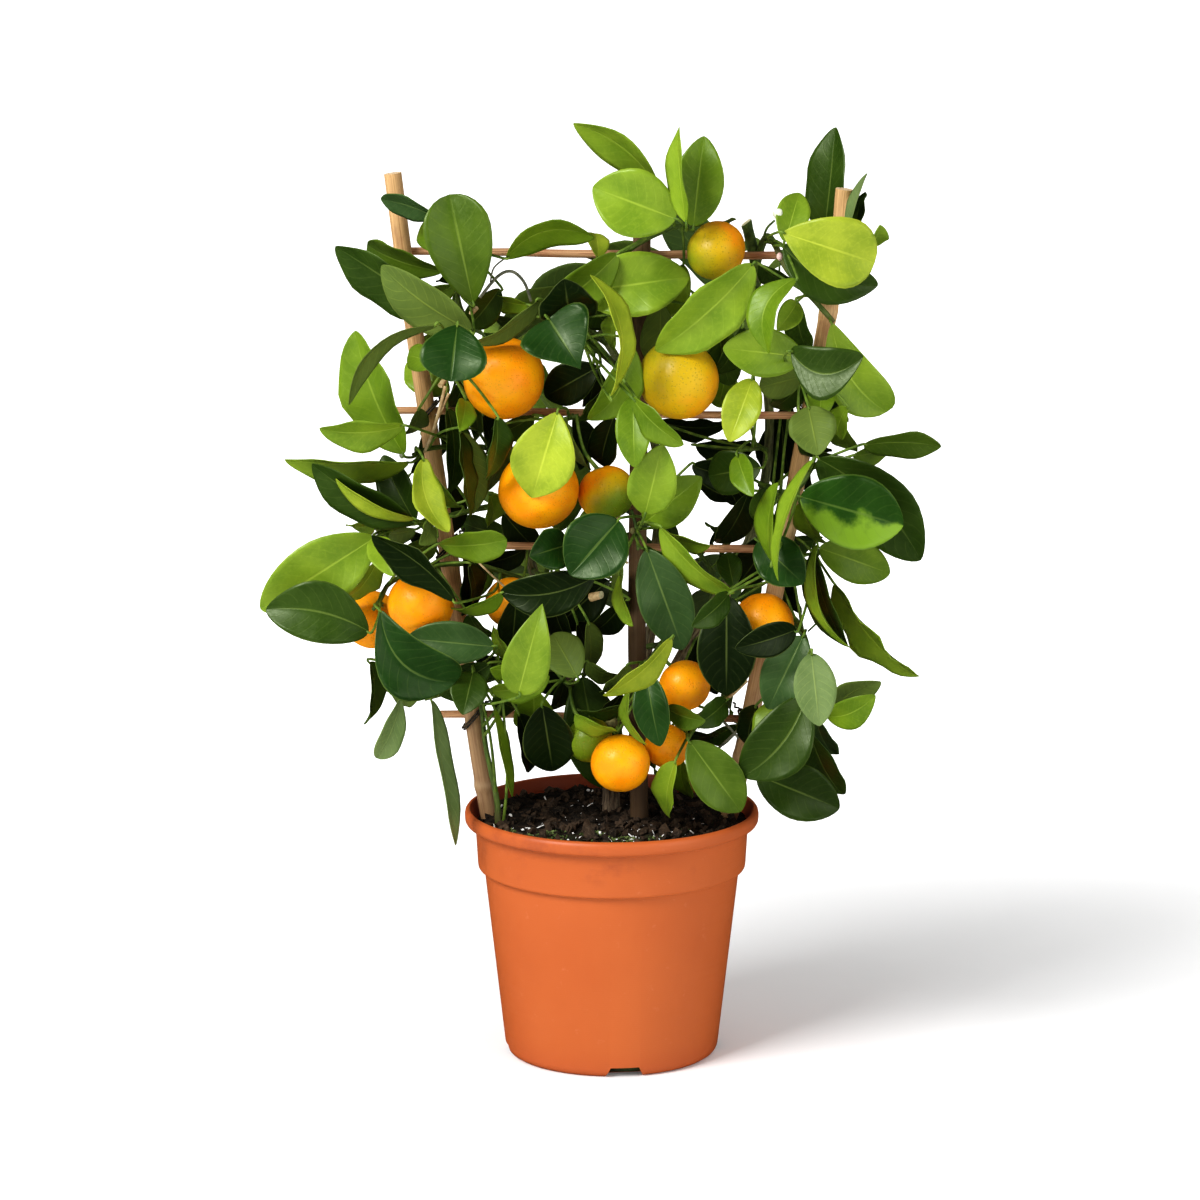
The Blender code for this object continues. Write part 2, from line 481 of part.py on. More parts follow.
def petiole_starts(stem, base, tip, number):
    """Points of the stem where the petiole of this leaf could start: near ones with little turn first."""
    first = START_SHIFT * number % 1
    along = (tip - base).normalized()
    points = [along_route(stem, 0.08 + 0.9 * (i + first) / PETIOLE_STARTS) for i in range(PETIOLE_STARTS)]
    turns = {i: (base - point).normalized().dot(along) for i, point in enumerate(points)}
    kept = [i for i in turns if turns[i] > SHARPEST_TURN]
    return [points[i] for i in sorted(kept, key=lambda i: (points[i] - base).length * (1.6 - turns[i]))]


def place_leaf(space, owner, stem, number, base, tip, facing, bow, width):
    """The leaf as one solid with its petiole, or None where it doesn't fit."""
    spare = blade_rings(base, tip, facing, bow, width + 0.6, LEAF_THICKNESS + 1.0)
    foot = petiole_rings(base, tip, facing, base - (tip - base) * 0.05, PETIOLE_RADIUS)[-1]
    blade = skin([foot] + spare, None, tip)
    if not space.free(blade, lambda o, kind: False):
        return None
    for start in petiole_starts(stem, base, tip, number):
        petiole = petiole_rings(base, tip, facing, start, PETIOLE_RADIUS + 0.5)
        short = [[a.lerp(b, 0.85) for a, b in zip(*petiole)], petiole[0]]
        own = {(owner, "stem"), (owner, "petiole")}
        if tree_of(skin(short)).overlap(tree_of(blade)):
            continue
        if space.free(skin(petiole), lambda o, kind: (o, kind) in own):
            space.add(owner, "petiole", skin(petiole))
            space.add(owner, "blade", blade)
            rings = petiole_rings(base, tip, facing, start, PETIOLE_RADIUS)
            return skin(rings + blade_rings(base, tip, facing, bow, width, LEAF_THICKNESS), None, tip)
    return None


def carried_forward(layer):
    """Forward distances to try for a leaf of this layer, the wanted one first."""
    wanted = LAYER_START + LAYER_STEP * layer
    for step in range(CARRY_STEPS):
        yield wanted + CARRY_STEP * step
        if layer < FRONT_LAYER and step:
            yield wanted - CARRY_STEP * step


def rear_leaf(route, index, count, first_angle, attempt):
    """Base, tip, facing and width of one leaf of a rear shoot, for this attempt at a free place."""
    length = REAR_LENGTHS[index % len(REAR_LENGTHS)]
    at = along_route(route, 0.25 + 0.75 * (index + 0.5) / count)
    heading = (route[-1] - route[1]).normalized()
    upright = (Vector((0, 0, 1)) - heading * heading.z).normalized()
    angle = math.radians(first_angle + GOLDEN_ANGLE * index + 360 / REAR_TRIES * attempt)
    spread = Quaternion(heading, angle) @ upright
    along = (spread + heading * 0.45 + Vector((0, 0, -0.25))).normalized()
    base = at + (spread + heading * 0.3) * 9
    facing = (Vector((0, 0, 0.8)) + heading * 0.8 + spread * 0.2)
    facing = (facing - along * facing.dot(along)).normalized()
    return base, base + along * length, facing, length * REAR_WIDTH_SHARE


def fruit_rings(centre, heading, radius, stalk_length):
    """Rings of a fruit with its calyx and stalk, from near the far pole to the stalk's end."""
    across = heading.orthogonal().normalized()
    sections = []
    for row in range(1, FRUIT_ROWS):
        angle = math.pi * row / FRUIT_ROWS
        sections.append((radius * math.sin(angle), -radius * FRUIT_SQUASH * math.cos(angle)))
    top = radius * FRUIT_SQUASH
    sections += [(CALYX_RADIUS, top - 0.4), (STALK_RADIUS, top + 0.8)]
    sections.append((STALK_RADIUS * 0.9, top + stalk_length))
    rings = []
    for wide, along in sections:
        spins = [Quaternion(heading, 2 * math.pi * i / FRUIT_SIDES) for i in range(FRUIT_SIDES)]
        rings.append([centre + heading * along + spin @ across * wide for spin in spins])
    return rings


def tie_route(crossing, cane_way, rod_way, outward):
    """A loop of wire that goes slantwise round a cane and the rod behind it."""
    slant = (cane_way + rod_way).normalized()
    behind = -outward
    reach = CANE_RADIUS + ROD_RADIUS + GAP
    around = (
        (-9.0, 0), (-7.3, -4.5), (-3.6, -6.4), (0, -6.8), (3.6, -6.4), (7.3, -4.5), (9.0, 0),
        (8.2, 4.2), (5.6, reach + 0.4), (2.9, reach + 3.0), (-2.9, reach + 3.0), (-5.6, reach + 0.4),
        (-8.2, 4.2),
    )
    return [crossing + slant * u + behind * v for u, v in around]


def ring_tube(route, radius):
    """A closed loop of square-sectioned wire along the route."""
    count = len(route)
    normal = (route[3] - route[0]).cross(route[6] - route[0]).normalized()
    points = []
    for i, point in enumerate(route):
        way = (route[(i + 1) % count] - route[i - 1]).normalized()
        out = way.cross(normal).normalized()
        points += [point + out * radius, point + normal * radius, point - out * radius,
                   point - normal * radius]
    faces = []
    for i in range(count):
        low, high = 4 * i, 4 * ((i + 1) % count)
        for k in range(4):
            m = (k + 1) % 4
            faces.append((low + k, low + m, high + m, high + k))
    return points, faces


def make_object(name, solid, kind, helper=False):
    """A mesh object in metres. A helper is a cutter or an operand and is no piece of its own."""
    mesh = bpy.data.meshes.new(name)
    mesh.from_pydata([point * MM for point in solid[0]], [], solid[1])
    work = bmesh.new()
    work.from_mesh(mesh)
    bmesh.ops.recalc_face_normals(work, faces=work.faces)
    work.to_mesh(mesh)
    work.free()
    obj = bpy.data.objects.new(name, mesh)
    if helper:
        obj.hide_render = True
        obj.display_type = "WIRE"
        return obj
    bpy.context.scene.collection.objects.link(obj)
    mesh.shade_smooth()
    material = bpy.data.materials.new(name)
    material.use_nodes = True
    surface = material.node_tree.nodes["Principled BSDF"]
    surface.inputs["Base Color"].default_value = (*COLOURS[kind], 1)
    surface.inputs["Roughness"].default_value = ROUGHNESSES.get(kind, 0.6)
    surface.inputs["Metallic"].default_value = 0.0
    mesh.materials.append(material)
    return obj


def combine(obj, solids, operation, solver="EXACT"):
    """Unites the solids with the object, or cuts them from it, in one Boolean."""
    group = bpy.data.collections.new(obj.name + "_" + operation.lower())
    bpy.context.scene.collection.children.link(group)
    group.hide_render = True
    for index, solid in enumerate(solids):
        group.objects.link(make_object(f"{obj.name}_helper_{index:02d}", solid, None, helper=True))
    modifier = obj.modifiers.new(operation.lower(), "BOOLEAN")
    modifier.operation = operation
    modifier.operand_type = "COLLECTION"
    modifier.collection = group
    modifier.solver = solver


def notch_cutters():
    """One wedge through the pot's foot for each drainage notch."""
    cutters = []
    for index in range(NOTCH_COUNT):
        angle = math.radians(-90 + FRONT_NOTCH_TURN + 360 / NOTCH_COUNT * index)
        out = Vector((math.cos(angle), math.sin(angle), 0))
        side = Vector((-out.y, out.x, 0))
        slope = (NOTCH_BOTTOM_WIDTH - NOTCH_TOP_WIDTH) / NOTCH_HEIGHT
        section = ((-0.5, -1.0), (0.5, -1.0), (0.5, NOTCH_HEIGHT), (-0.5, NOTCH_HEIGHT))
        rings = []
        for radius in (NOTCH_INNER_RADIUS, NOTCH_OUTER_RADIUS):
            ring = []
            for half, z in section:
                width = NOTCH_BOTTOM_WIDTH - slope * z
                ring.append(out * radius + side * (half * width) + Vector((0, 0, z)))
            rings.append(ring)
        cutters.append(skin(rings))
    return cutters


def build():
    for obj in list(bpy.data.objects):
        bpy.data.objects.remove(obj, do_unlink=True)
    space = Clearance()
    solids = {}

    def keep(name, kind, solid, label="body"):
        solids[name] = solid
        space.add(name, label, solid)
        return make_object(name, solid, kind)

    combine(keep("pot", "pot", lathe(POT_OUTLINE, POT_SIDES)), notch_cutters(), "DIFFERENCE")

    sockets = []
    canes = {}
    for name, (foot_z, route) in CANES.items():
        points = [on_trellis(x, z) for x, z in route]
        down = (points[0] - points[1]).normalized()
        foot = points[0] + down * ((points[0].z - foot_z) / -down.z)
        canes[name] = [foot] + points
        keep(name, "cane", tube(canes[name], (CANE_RADIUS, CANE_RADIUS), 12))
        spare = CANE_RADIUS + SOCKET_SPARE
        above = points[0] - down * 16
        sockets.append(tube([foot + down * SOCKET_SPARE, points[0], above], (spare, spare), 12))

    plane_way = Vector((1, TRELLIS_SLOPE, 0)).normalized()
    plane_out = Vector((TRELLIS_SLOPE, -1, 0)).normalized()
    rods = {}
    for name, (z, left, right) in RODS.items():
        back = -plane_out * (CANE_RADIUS + ROD_RADIUS + GAP)
        height = on_trellis(0, z)
        ends = [height + plane_way * (x / plane_way.x) + back for x in (left, right)]
        rods[name] = ends
        keep(name, "rod", tube(ends, (ROD_RADIUS, ROD_RADIUS), 8))

    for index, (cane, rod) in enumerate(TIES):
        level = rods[rod][0].z
        pairs = zip(canes[cane], canes[cane][1:])
        low, high = next((a, b) for a, b in pairs if a.z <= level <= b.z)
        crossing = low.lerp(high, (level - low.z) / (high.z - low.z))
        cane_way = (high - low).normalized()
        rod_way = plane_way if crossing.x < 0 else -plane_way
        loop = tie_route(crossing, cane_way, rod_way, plane_out)
        keep(f"tie_{index + 1}", "tie", ring_tube(loop, TIE_RADIUS))

    routes = {"trunk": [seen(*point) for point in TRUNK_ROUTE]}
    keep("trunk", "trunk", tube(routes["trunk"], TRUNK_RADII, 10))
    spare = [routes["trunk"][0] + Vector((0, 0, -SOCKET_SPARE)), routes["trunk"][1]]
    spare.append(spare[1] * 2 - spare[0])
    reach = TRUNK_RADII[0] + SOCKET_SPARE
    sockets.append(tube(spare, (reach, reach), 10))

    for name, (carrier, radii, route) in BRANCHES.items():
        points = [seen(*point) for point in route]
        points[0] = clear_start(tree_of(solids[carrier]), points[0], points[1], radii[0])
        routes[name] = points
        keep(name, "branch", tube(points, radii, 8))

    stems = {}
    for name, (carrier, radii, route, *_) in {**SHOOTS, **REAR_SHOOTS}.items():
        points = [seen(*point) for point in route]
        if carrier == "soil":
            spare = [points[0] + Vector((0, 0, -SOCKET_SPARE)), points[1], points[2]]
            sockets.append(tube(spare, (radii[0] + SOCKET_SPARE, radii[0] + SOCKET_SPARE), 8))
        else:
            points[0] = clear_start(tree_of(solids[carrier]), points[0], points[1], radii[0])
        stems[name] = points
        solids[name] = tube(points, radii, 6)
        space.add(name, "stem", solids[name])

    soil = make_object("soil", lathe(SOIL_OUTLINE, POT_SIDES), "soil")
    space.add("soil", "body", lathe(SOIL_OUTLINE, POT_SIDES))
    combine(soil, sockets, "DIFFERENCE")

    for index, (x, z, diameter, forward, carrier, aim) in enumerate(FRUITS):
        centre = seen(x, z, forward)
        radius = diameter / 2
        heading = (seen(*aim) - centre).normalized()
        end = clear_start(tree_of(solids[carrier]), seen(*aim), centre, STALK_RADIUS * 0.9)
        stalk = (end - centre).length - radius * FRUIT_SQUASH
        rings = fruit_rings(centre, heading, radius, max(stalk, 1.0))
        keep(f"fruit_{index + 1:02d}", "fruit", skin(rings, centre - heading * radius * FRUIT_SQUASH))
        space.balls.append((centre, radius))

    leaves = {name: [] for name in stems}
    waiting = [(max(row[5], 0), name, row) for name, shoot in SHOOTS.items() for row in shoot[3]]
    for _, name, row in sorted(waiting, key=lambda item: item[0]):
        for forward in carried_forward(row[5]):
            leaf = place_leaf(space, name, stems[name], len(leaves[name]), *leaf_frame(row, forward))
            if leaf:
                leaves[name].append(leaf)
                break

    for name, (carrier, radii, route, count, first_angle) in REAR_SHOOTS.items():
        for index in range(count):
            for attempt in range(REAR_TRIES):
                base, tip, facing, width = rear_leaf(stems[name], index, count, first_angle, attempt)
                across = (tip - base).cross(facing).normalized() * width / 2
                middle = (base + tip) / 2
                corners = (base, tip, middle, middle + across, middle - across)
                if not space.hidden(corners):
                    continue
                leaf = place_leaf(space, name, stems[name], index, base, tip, facing, Vector(), width)
                if leaf:
                    leaves[name].append(leaf)
                    break

    for name, blades in leaves.items():
        obj = make_object(name, solids[name], "sucker" if name == "sucker" else "shoot")
        combine(obj, blades, "UNION", solver="MANIFOLD")


build()
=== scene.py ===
import math
import random

import bmesh
import bpy
from mathutils import Matrix, Quaternion, Vector, noise
from mathutils.kdtree import KDTree


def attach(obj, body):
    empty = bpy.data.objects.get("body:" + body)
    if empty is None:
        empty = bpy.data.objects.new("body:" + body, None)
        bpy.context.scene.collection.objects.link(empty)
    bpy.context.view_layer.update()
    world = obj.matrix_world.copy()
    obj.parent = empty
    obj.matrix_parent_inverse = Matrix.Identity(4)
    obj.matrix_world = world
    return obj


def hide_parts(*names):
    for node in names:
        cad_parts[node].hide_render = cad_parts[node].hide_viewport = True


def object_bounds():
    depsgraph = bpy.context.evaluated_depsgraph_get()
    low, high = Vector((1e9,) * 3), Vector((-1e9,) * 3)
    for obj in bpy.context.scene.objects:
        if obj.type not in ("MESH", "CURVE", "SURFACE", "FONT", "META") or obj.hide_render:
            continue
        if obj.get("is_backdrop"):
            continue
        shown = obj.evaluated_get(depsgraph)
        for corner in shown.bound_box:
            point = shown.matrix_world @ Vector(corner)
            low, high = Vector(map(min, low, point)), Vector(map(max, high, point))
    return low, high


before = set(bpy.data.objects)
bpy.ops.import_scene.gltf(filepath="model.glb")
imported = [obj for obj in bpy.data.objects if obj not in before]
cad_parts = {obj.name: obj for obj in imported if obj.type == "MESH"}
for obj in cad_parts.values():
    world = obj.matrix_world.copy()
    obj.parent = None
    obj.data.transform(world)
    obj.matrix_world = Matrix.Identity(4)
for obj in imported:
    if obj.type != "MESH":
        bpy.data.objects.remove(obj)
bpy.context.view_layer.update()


# ---------------------------------------------------------------------------------------------
# Studio: a pale floor under even white light, one large soft lamp high on the left and in front, a
# weak one on the right, and a long lens at eye height three metres in front of the pot.
# ---------------------------------------------------------------------------------------------
scene = bpy.context.scene
scene.view_settings.view_transform = "Standard"
scene.view_settings.look = "Medium High Contrast"

lens = bpy.data.cameras.new("camera")
lens.lens = 160
lens.sensor_width = 36
lens.clip_end = 50
camera = bpy.data.objects.new("camera", lens)
camera.location = (-0.0068, -3.0, 0.898)
camera.rotation_euler = (math.radians(78.13), 0, 0)
scene.collection.objects.link(camera)
scene.camera = camera

world = bpy.data.worlds.new("studio")
scene.world = world
world.use_nodes = True
sky = world.node_tree.nodes["Background"].inputs
sky["Color"].default_value = (1.0, 1.0, 1.0, 1.0)
sky["Strength"].default_value = 0.45
world.cycles_visibility.glossy = False

plant_middle = Vector((0, 0, 0.25))
LAMPS = (("key_lamp", (-1.5, -1.6, 1.9), 1.2, 78), ("fill_lamp", (1.9, -1.7, 0.9), 1.6, 16))
for name, place, size, watts in LAMPS:
    lamp = bpy.data.lights.new(name, "AREA")
    lamp.size = size
    lamp.energy = watts
    stand = bpy.data.objects.new(name, lamp)
    stand.location = place
    stand.rotation_euler = (plant_middle - Vector(place)).to_track_quat("-Z", "Y").to_euler()
    scene.collection.objects.link(stand)


# ---------------------------------------------------------------------------------------------
# Floor and backdrop: a wide smooth off-white sheet that only catches the soft shadow, and a ring of
# white paper that stands far out at its edge and lights nothing. Both are in metres.
# ---------------------------------------------------------------------------------------------
class Wire:
    """One output of a material's node, on which plain arithmetic works."""

    def __init__(self, look, end):
        self.look = look
        self.end = end

    def maths(self, operation, *values):
        return self.look.node("Math", {"operation": operation}, *values).out()

    def __add__(self, other):
        return self.maths("ADD", self, other)

    def __radd__(self, other):
        return self.maths("ADD", other, self)

    def __sub__(self, other):
        return self.maths("SUBTRACT", self, other)

    def __rsub__(self, other):
        return self.maths("SUBTRACT", other, self)

    def __mul__(self, other):
        return self.maths("MULTIPLY", self, other)

    def __rmul__(self, other):
        return self.maths("MULTIPLY", other, self)

    def __truediv__(self, other):
        return self.maths("DIVIDE", self, other)

    def __pow__(self, other):
        return self.maths("POWER", self, other)

    def size(self):
        """The value without its sign."""
        return self.maths("ABSOLUTE", self)

    def part(self):
        """The part after the decimal point."""
        return self.maths("FRACT", self)

    def wave(self):
        return self.maths("SINE", self)

    def ramp(self, low, high, first=0.0, last=1.0):
        """Goes smoothly from first to last as the value goes from low to high."""
        kind = {"interpolation_type": "SMOOTHSTEP"}
        return self.look.node("MapRange", kind, self, low, high, first, last).out()


class Step:
    """One node of a material."""

    def __init__(self, look, node):
        self.look = look
        self.node = node

    def out(self, name=0):
        return Wire(self.look, self.node.outputs[name])


class Look:
    """A Principled material under construction."""

    def __init__(self, name, **constants):
        self.material = bpy.data.materials.new(name)
        self.material.use_nodes = True
        self.tree = self.material.node_tree
        self.surface = self.tree.nodes["Principled BSDF"]
        self.surface.inputs["Specular IOR Level"].default_value = 0.2
        for key, value in constants.items():
            self.surface.inputs[key.replace("_", " ")].default_value = value

    def put(self, socket, value):
        """Links the socket to a wire, or sets it."""
        if isinstance(value, Wire):
            self.tree.links.new(value.end, socket)
        elif isinstance(value, (tuple, list)) and socket.type == "RGBA":
            socket.default_value = (*value, 1.0)[:4]
        else:
            socket.default_value = value

    def node(self, kind, settings, *values, **named):
        """Adds a node with its settings, and feeds its sockets in turn or by name."""
        node = self.tree.nodes.new("ShaderNode" + kind)
        for key, value in settings.items():
            setattr(node, key, value)
        sockets = [socket for socket in node.inputs if socket.enabled]
        for socket, value in zip(sockets, values):
            if value is not None:
                self.put(socket, value)
        for key, value in named.items():
            self.put(node.inputs[key.replace("_", " ")], value)
        return Step(self, node)

    def place(self):
        """The point of the surface, in metres."""
        return self.node("TexCoord", {}).out("Object")

    def mark(self, name):
        """What the mesh carries under this name."""
        return self.node("Attribute", {"attribute_name": name})

    def split(self, vector):
        step = self.node("SeparateXYZ", {}, vector)
        return step.out("X"), step.out("Y"), step.out("Z")

    def noise(self, vector, scale, detail=3.0, rough=0.5):
        step = self.node("TexNoise", {}, Vector=vector, Scale=scale, Detail=detail, Roughness=rough)
        return step.out(0)

    def cells(self, vector, scale, feature="F1"):
        return self.node("TexVoronoi", {"feature": feature}, Vector=vector, Scale=scale).out("Distance")

    def scaled(self, vector, factors):
        return self.node("VectorMath", {"operation": "MULTIPLY"}, vector, factors).out()

    def mix(self, share, first, second, blend="MIX"):
        kind = {"data_type": "RGBA", "blend_type": blend}
        return self.node("Mix", kind, share, first, second).out("Result")

    def bump(self, height, strength, distance):
        return self.node("Bump", {}, Strength=strength, Distance=distance, Height=height).out()

    def feed(self, **wires):
        """Feeds the surface by the names of its sockets, and gives the finished material."""
        for key, value in wires.items():
            self.put(self.surface.inputs[key.replace("_", " ")], value)
        return self.material


FLOOR_REACH = 12.0
RING_RADIUS, RING_HEIGHT = 11.8, 10.0


def studio_paper(name, work):
    """Puts one piece of the studio's paper in the scene."""
    mesh = bpy.data.meshes.new(name)
    work.to_mesh(mesh)
    work.free()
    paper = bpy.data.objects.new(name, mesh)
    paper.visible_glossy = False
    scene.collection.objects.link(paper)
    paper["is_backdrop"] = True
    return paper


work = bmesh.new()
bmesh.ops.create_grid(work, x_segments=1, y_segments=1, size=FLOOR_REACH)
floor = studio_paper("floor", work)
sheet = Look("floor_sheet", Roughness=0.9, Emission_Strength=1.0)
where = sheet.place()
speck = sheet.noise(where, 40.0)
across, away, _ = sheet.split(where)
reach = (across * across + away * away) ** 0.5
glow = sheet.mix(reach.ramp(0.12, 1.1, 0.07, 0.80), (0.0, 0.0, 0.0), (1.0, 1.0, 1.0))
white = sheet.mix(speck, (0.86, 0.86, 0.86), (0.88, 0.88, 0.88))
floor.data.materials.append(sheet.feed(Base_Color=white, Emission_Color=glow))

work = bmesh.new()
bmesh.ops.create_cone(work, cap_ends=False, segments=96, radius1=RING_RADIUS, radius2=RING_RADIUS,
                      depth=RING_HEIGHT)
backdrop = studio_paper("backdrop", work)
backdrop.visible_diffuse = False
backdrop.visible_shadow = False
ring = Look("backdrop_paper", Roughness=1.0, Base_Color=(0.1, 0.1, 0.1, 1.0), Emission_Strength=1.0)
white = ring.mix(ring.noise(ring.place(), 0.6), (0.93, 0.93, 0.93), (0.96, 0.96, 0.96))
backdrop.data.materials.append(ring.feed(Emission_Color=white))


# ---------------------------------------------------------------------------------------------
# Pot: round nursery pot of moulded orange-brown plastic with a rolled lip, a stepped collar, a
# tapering wall and a notched foot.
# ---------------------------------------------------------------------------------------------
MM = 0.001


def finish_piece(name, work, materials, nodes=(), smooth=True, angle=None):
    """Makes the piece from a mesh in millimetres, in the frame's metres, and enters it in the frame."""
    bmesh.ops.scale(work, vec=(MM, MM, MM), verts=work.verts)
    bmesh.ops.recalc_face_normals(work, faces=work.faces)
    for face in work.faces:
        face.smooth = smooth
    mesh = bpy.data.meshes.new(name)
    work.to_mesh(mesh)
    work.free()
    if angle is not None:
        mesh.set_sharp_from_angle(angle=math.radians(angle))
    for material in materials:
        mesh.materials.append(material)
    obj = bpy.data.objects.new(name, mesh)
    scene.collection.objects.link(obj)
    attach(obj, "root")
    if nodes:
        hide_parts(*nodes)
    return obj


ROUND_SIDES = 160


def turned(outline):
    """A closed solid turned round the upright axis from an outline that starts and ends on it."""
    work = bmesh.new()
    corners = [work.verts.new((radius, 0, z)) for radius, z in outline]
    edges = [work.edges.new(pair) for pair in zip(corners, corners[1:])]
    bmesh.ops.spin(work, geom=corners + edges, axis=(0, 0, 1), cent=(0, 0, 0), steps=ROUND_SIDES,
                   angle=2 * math.pi, use_merge=True)
    bmesh.ops.remove_doubles(work, verts=work.verts, dist=0.001)
    return work


POT_OUTLINE = (
    (0, 0), (16.4, 0), (17.2, 0.5), (20.2, 5.6), (21, 6), (43.4, 6), (44.3, 5.5), (47.2, 0.5),
    (48, 0), (57, 0), (58.6, 0.3), (60.4, 1.5), (61.4, 3), (62, 5), (73.7, 107.5), (73.9, 109),
    (74.3, 109.7), (77, 110.6), (77.4, 111.2), (77.6, 112.4), (79, 135), (79.3, 135.9),
    (80, 136.3), (83.4, 136.6), (84.3, 137.1), (84.9, 138.2), (85.1, 139.8), (85.1, 142),
    (84.8, 143.5), (84.1, 144.5), (83.2, 145), (82.4, 145), (81.9, 144.4), (81.2, 142.6),
    (77.3, 134), (75.7, 113), (72.2, 110), (60.3, 5.2), (57.2, 2), (48.6, 2), (44.6, 8),
    (19.4, 8), (15.9, 2), (0, 2),
)
NOTCHES, NOTCH_TURN = 4, 7
NOTCH_INSIDE, NOTCH_OUTSIDE = 50.0, 68.0
NOTCH_LOW, NOTCH_HIGH = -1.0, 6.0
NOTCH_HALF_LOW, NOTCH_HALF_HIGH = 11.4, 8.2
pot_shape = turned(POT_OUTLINE)
plastic = Look("pot_plastic", IOR=1.46, Specular_IOR_Level=0.40)
where = plastic.place()
cloud = plastic.noise(where, 9.0, 4.0)
dust = plastic.noise(where, 160.0, 3.0, 0.7)
across, away, up = plastic.split(where)
radius = (across * across + away * away) ** 0.5
moulding = (up * 5200.0).wave()
# Painted shade: the inside of the pot above the mix is darkened, where shade falls.
inner_painted_shade = radius.ramp(0.0816, 0.0826, 1.0, 0.0) * up.ramp(0.1362, 0.1370)
wall = plastic.mix(cloud.ramp(0.3, 0.7), (0.468, 0.108, 0.024), (0.512, 0.127, 0.030))
wall = plastic.mix(up.ramp(0.0, 0.02, 0.35, 0.0), wall, (0.42, 0.085, 0.025))
wall = plastic.mix(dust.ramp(0.62, 0.80, 0.0, 0.20), wall, (0.66, 0.25, 0.13))
# Darker along the lip, and in blotches that grow toward the top of the wall.
lip = up.ramp(0.1355, 0.1375, 0.0, 0.12)
upper_blotches = plastic.noise(where, 26.0, 5.0, 0.7).ramp(0.50, 0.72, 0.0, 0.55) * up.ramp(0.108, 0.132)
wall = plastic.mix(lip + upper_blotches * (1.0 - lip), wall, (0.27, 0.055, 0.022))
scuffs = plastic.noise(plastic.scaled(where, (30.0, 30.0, 400.0)), 1.0, 4.0, 0.7)
pot_look = plastic.feed(
    # Painted shade darkens the inside of the pot above the mix.
    Base_Color=plastic.mix(inner_painted_shade * 0.75, wall, (0.22, 0.035, 0.012)),
    Roughness=dust * 0.10 + scuffs.ramp(0.5, 0.8, 0.36, 0.44),
    Normal=plastic.bump(dust * 0.5 + moulding * 0.15 + cloud, 0.15, 0.0004),
)
pot = finish_piece("pot_body", pot_shape, [pot_look], ["pot"], angle=40)
notch_shape = bmesh.new()
for number in range(NOTCHES):
    turn = math.radians(-90 + NOTCH_TURN + 360 / NOTCHES * number)
    for corner in bmesh.ops.create_cube(notch_shape, size=1.0)["verts"]:
        outer, high = corner.co.x > 0, corner.co.z > 0
        half = NOTCH_HALF_HIGH if high else NOTCH_HALF_LOW
        corner.co = (NOTCH_OUTSIDE if outer else NOTCH_INSIDE, math.copysign(half, corner.co.y),
                     NOTCH_HIGH if high else NOTCH_LOW)
        corner.co = Matrix.Rotation(turn, 3, "Z") @ corner.co * MM
notch_mesh = bpy.data.meshes.new("notches")
notch_shape.to_mesh(notch_mesh)
notch_shape.free()
notches = bpy.data.objects.new("notches", notch_mesh)
scene.collection.objects.link(notches)
cut = pot.modifiers.new("notches", "BOOLEAN")
cut.operation = "DIFFERENCE"
cut.solver = "EXACT"
cut.object = notches
bpy.context.view_layer.update()
cut_mesh = bpy.data.meshes.new_from_object(pot.evaluated_get(bpy.context.evaluated_depsgraph_get()))
pot.modifiers.clear()
pot.data = cut_mesh
bpy.data.objects.remove(notches, do_unlink=True)


# ---------------------------------------------------------------------------------------------
# Soil: dark bark-based potting mix with a rough top, loose bark bits, white perlite grains and a
# little green moss at the front.
# ---------------------------------------------------------------------------------------------
SOIL_LEVEL, SOIL_RADIUS = 138.6, 78.4
SOIL_WAVES = ((17.0, 2.6), (6.0, 1.7), (2.3, 0.9))
FLAT_RADIUS, EDGE_WIDTH, EDGE_DROP = 66.0, 13.0, 2.0


def soil_height(x, y):
    """Height of the mix at a point, in millimetres."""
    spot = Vector((x, y, 0.0))
    waves = sum(noise.noise(spot / length) * height for length, height in SOIL_WAVES)
    edge = max(0.0, math.hypot(x, y) - FLAT_RADIUS) / EDGE_WIDTH
    return SOIL_LEVEL + waves - EDGE_DROP * edge * edge


SOIL_OUTLINE = (
    (0, 2.4), (15.5, 2.4), (19.1, 8.4), (44.9, 8.4), (48.9, 2.4), (57, 2.4), (59.9, 5.6),
    (71.8, 110.2), (75.2, 113), (76.8, 134), (SOIL_RADIUS, 138),
)
RING_STEP, TOP_RINGS, UNSHAPED_TOP, TOP_STARTS = 1.5, 52, 139.0, 137.5
rings = [(SOIL_RADIUS - RING_STEP * step, UNSHAPED_TOP) for step in range(1, TOP_RINGS)]
soil_shape = turned((*SOIL_OUTLINE, *rings, (0, UNSHAPED_TOP)))
for corner in soil_shape.verts:
    if corner.co.z > TOP_STARTS:
        corner.co.z = soil_height(corner.co.x, corner.co.y)
compost = Look("potting_mix", Roughness=0.95)
where = compost.place()
grain = compost.noise(where, 260.0, 5.0, 0.7)
lump = compost.cells(where, 220.0)
colour = compost.mix(grain.ramp(0.35, 0.70), (0.006, 0.0045, 0.003), (0.035, 0.023, 0.014))
colour = compost.mix(lump.ramp(0.0, 0.25, 0.4, 0.0), colour, (0.06, 0.037, 0.022))
front = compost.split(where)[1].ramp(-0.070, -0.030, 1.0, 0.0)
green_film = compost.noise(where, 42.0, 3.0).ramp(0.40, 0.52) * front
colour = compost.mix(green_film * 0.8, colour, (0.050, 0.075, 0.022))
compost_look = compost.feed(Base_Color=colour, Normal=compost.bump(grain + lump, 0.9, 0.0015))
finish_piece("soil_body", soil_shape, [compost_look], ["soil"])


SCATTER_RADIUS = 75.5


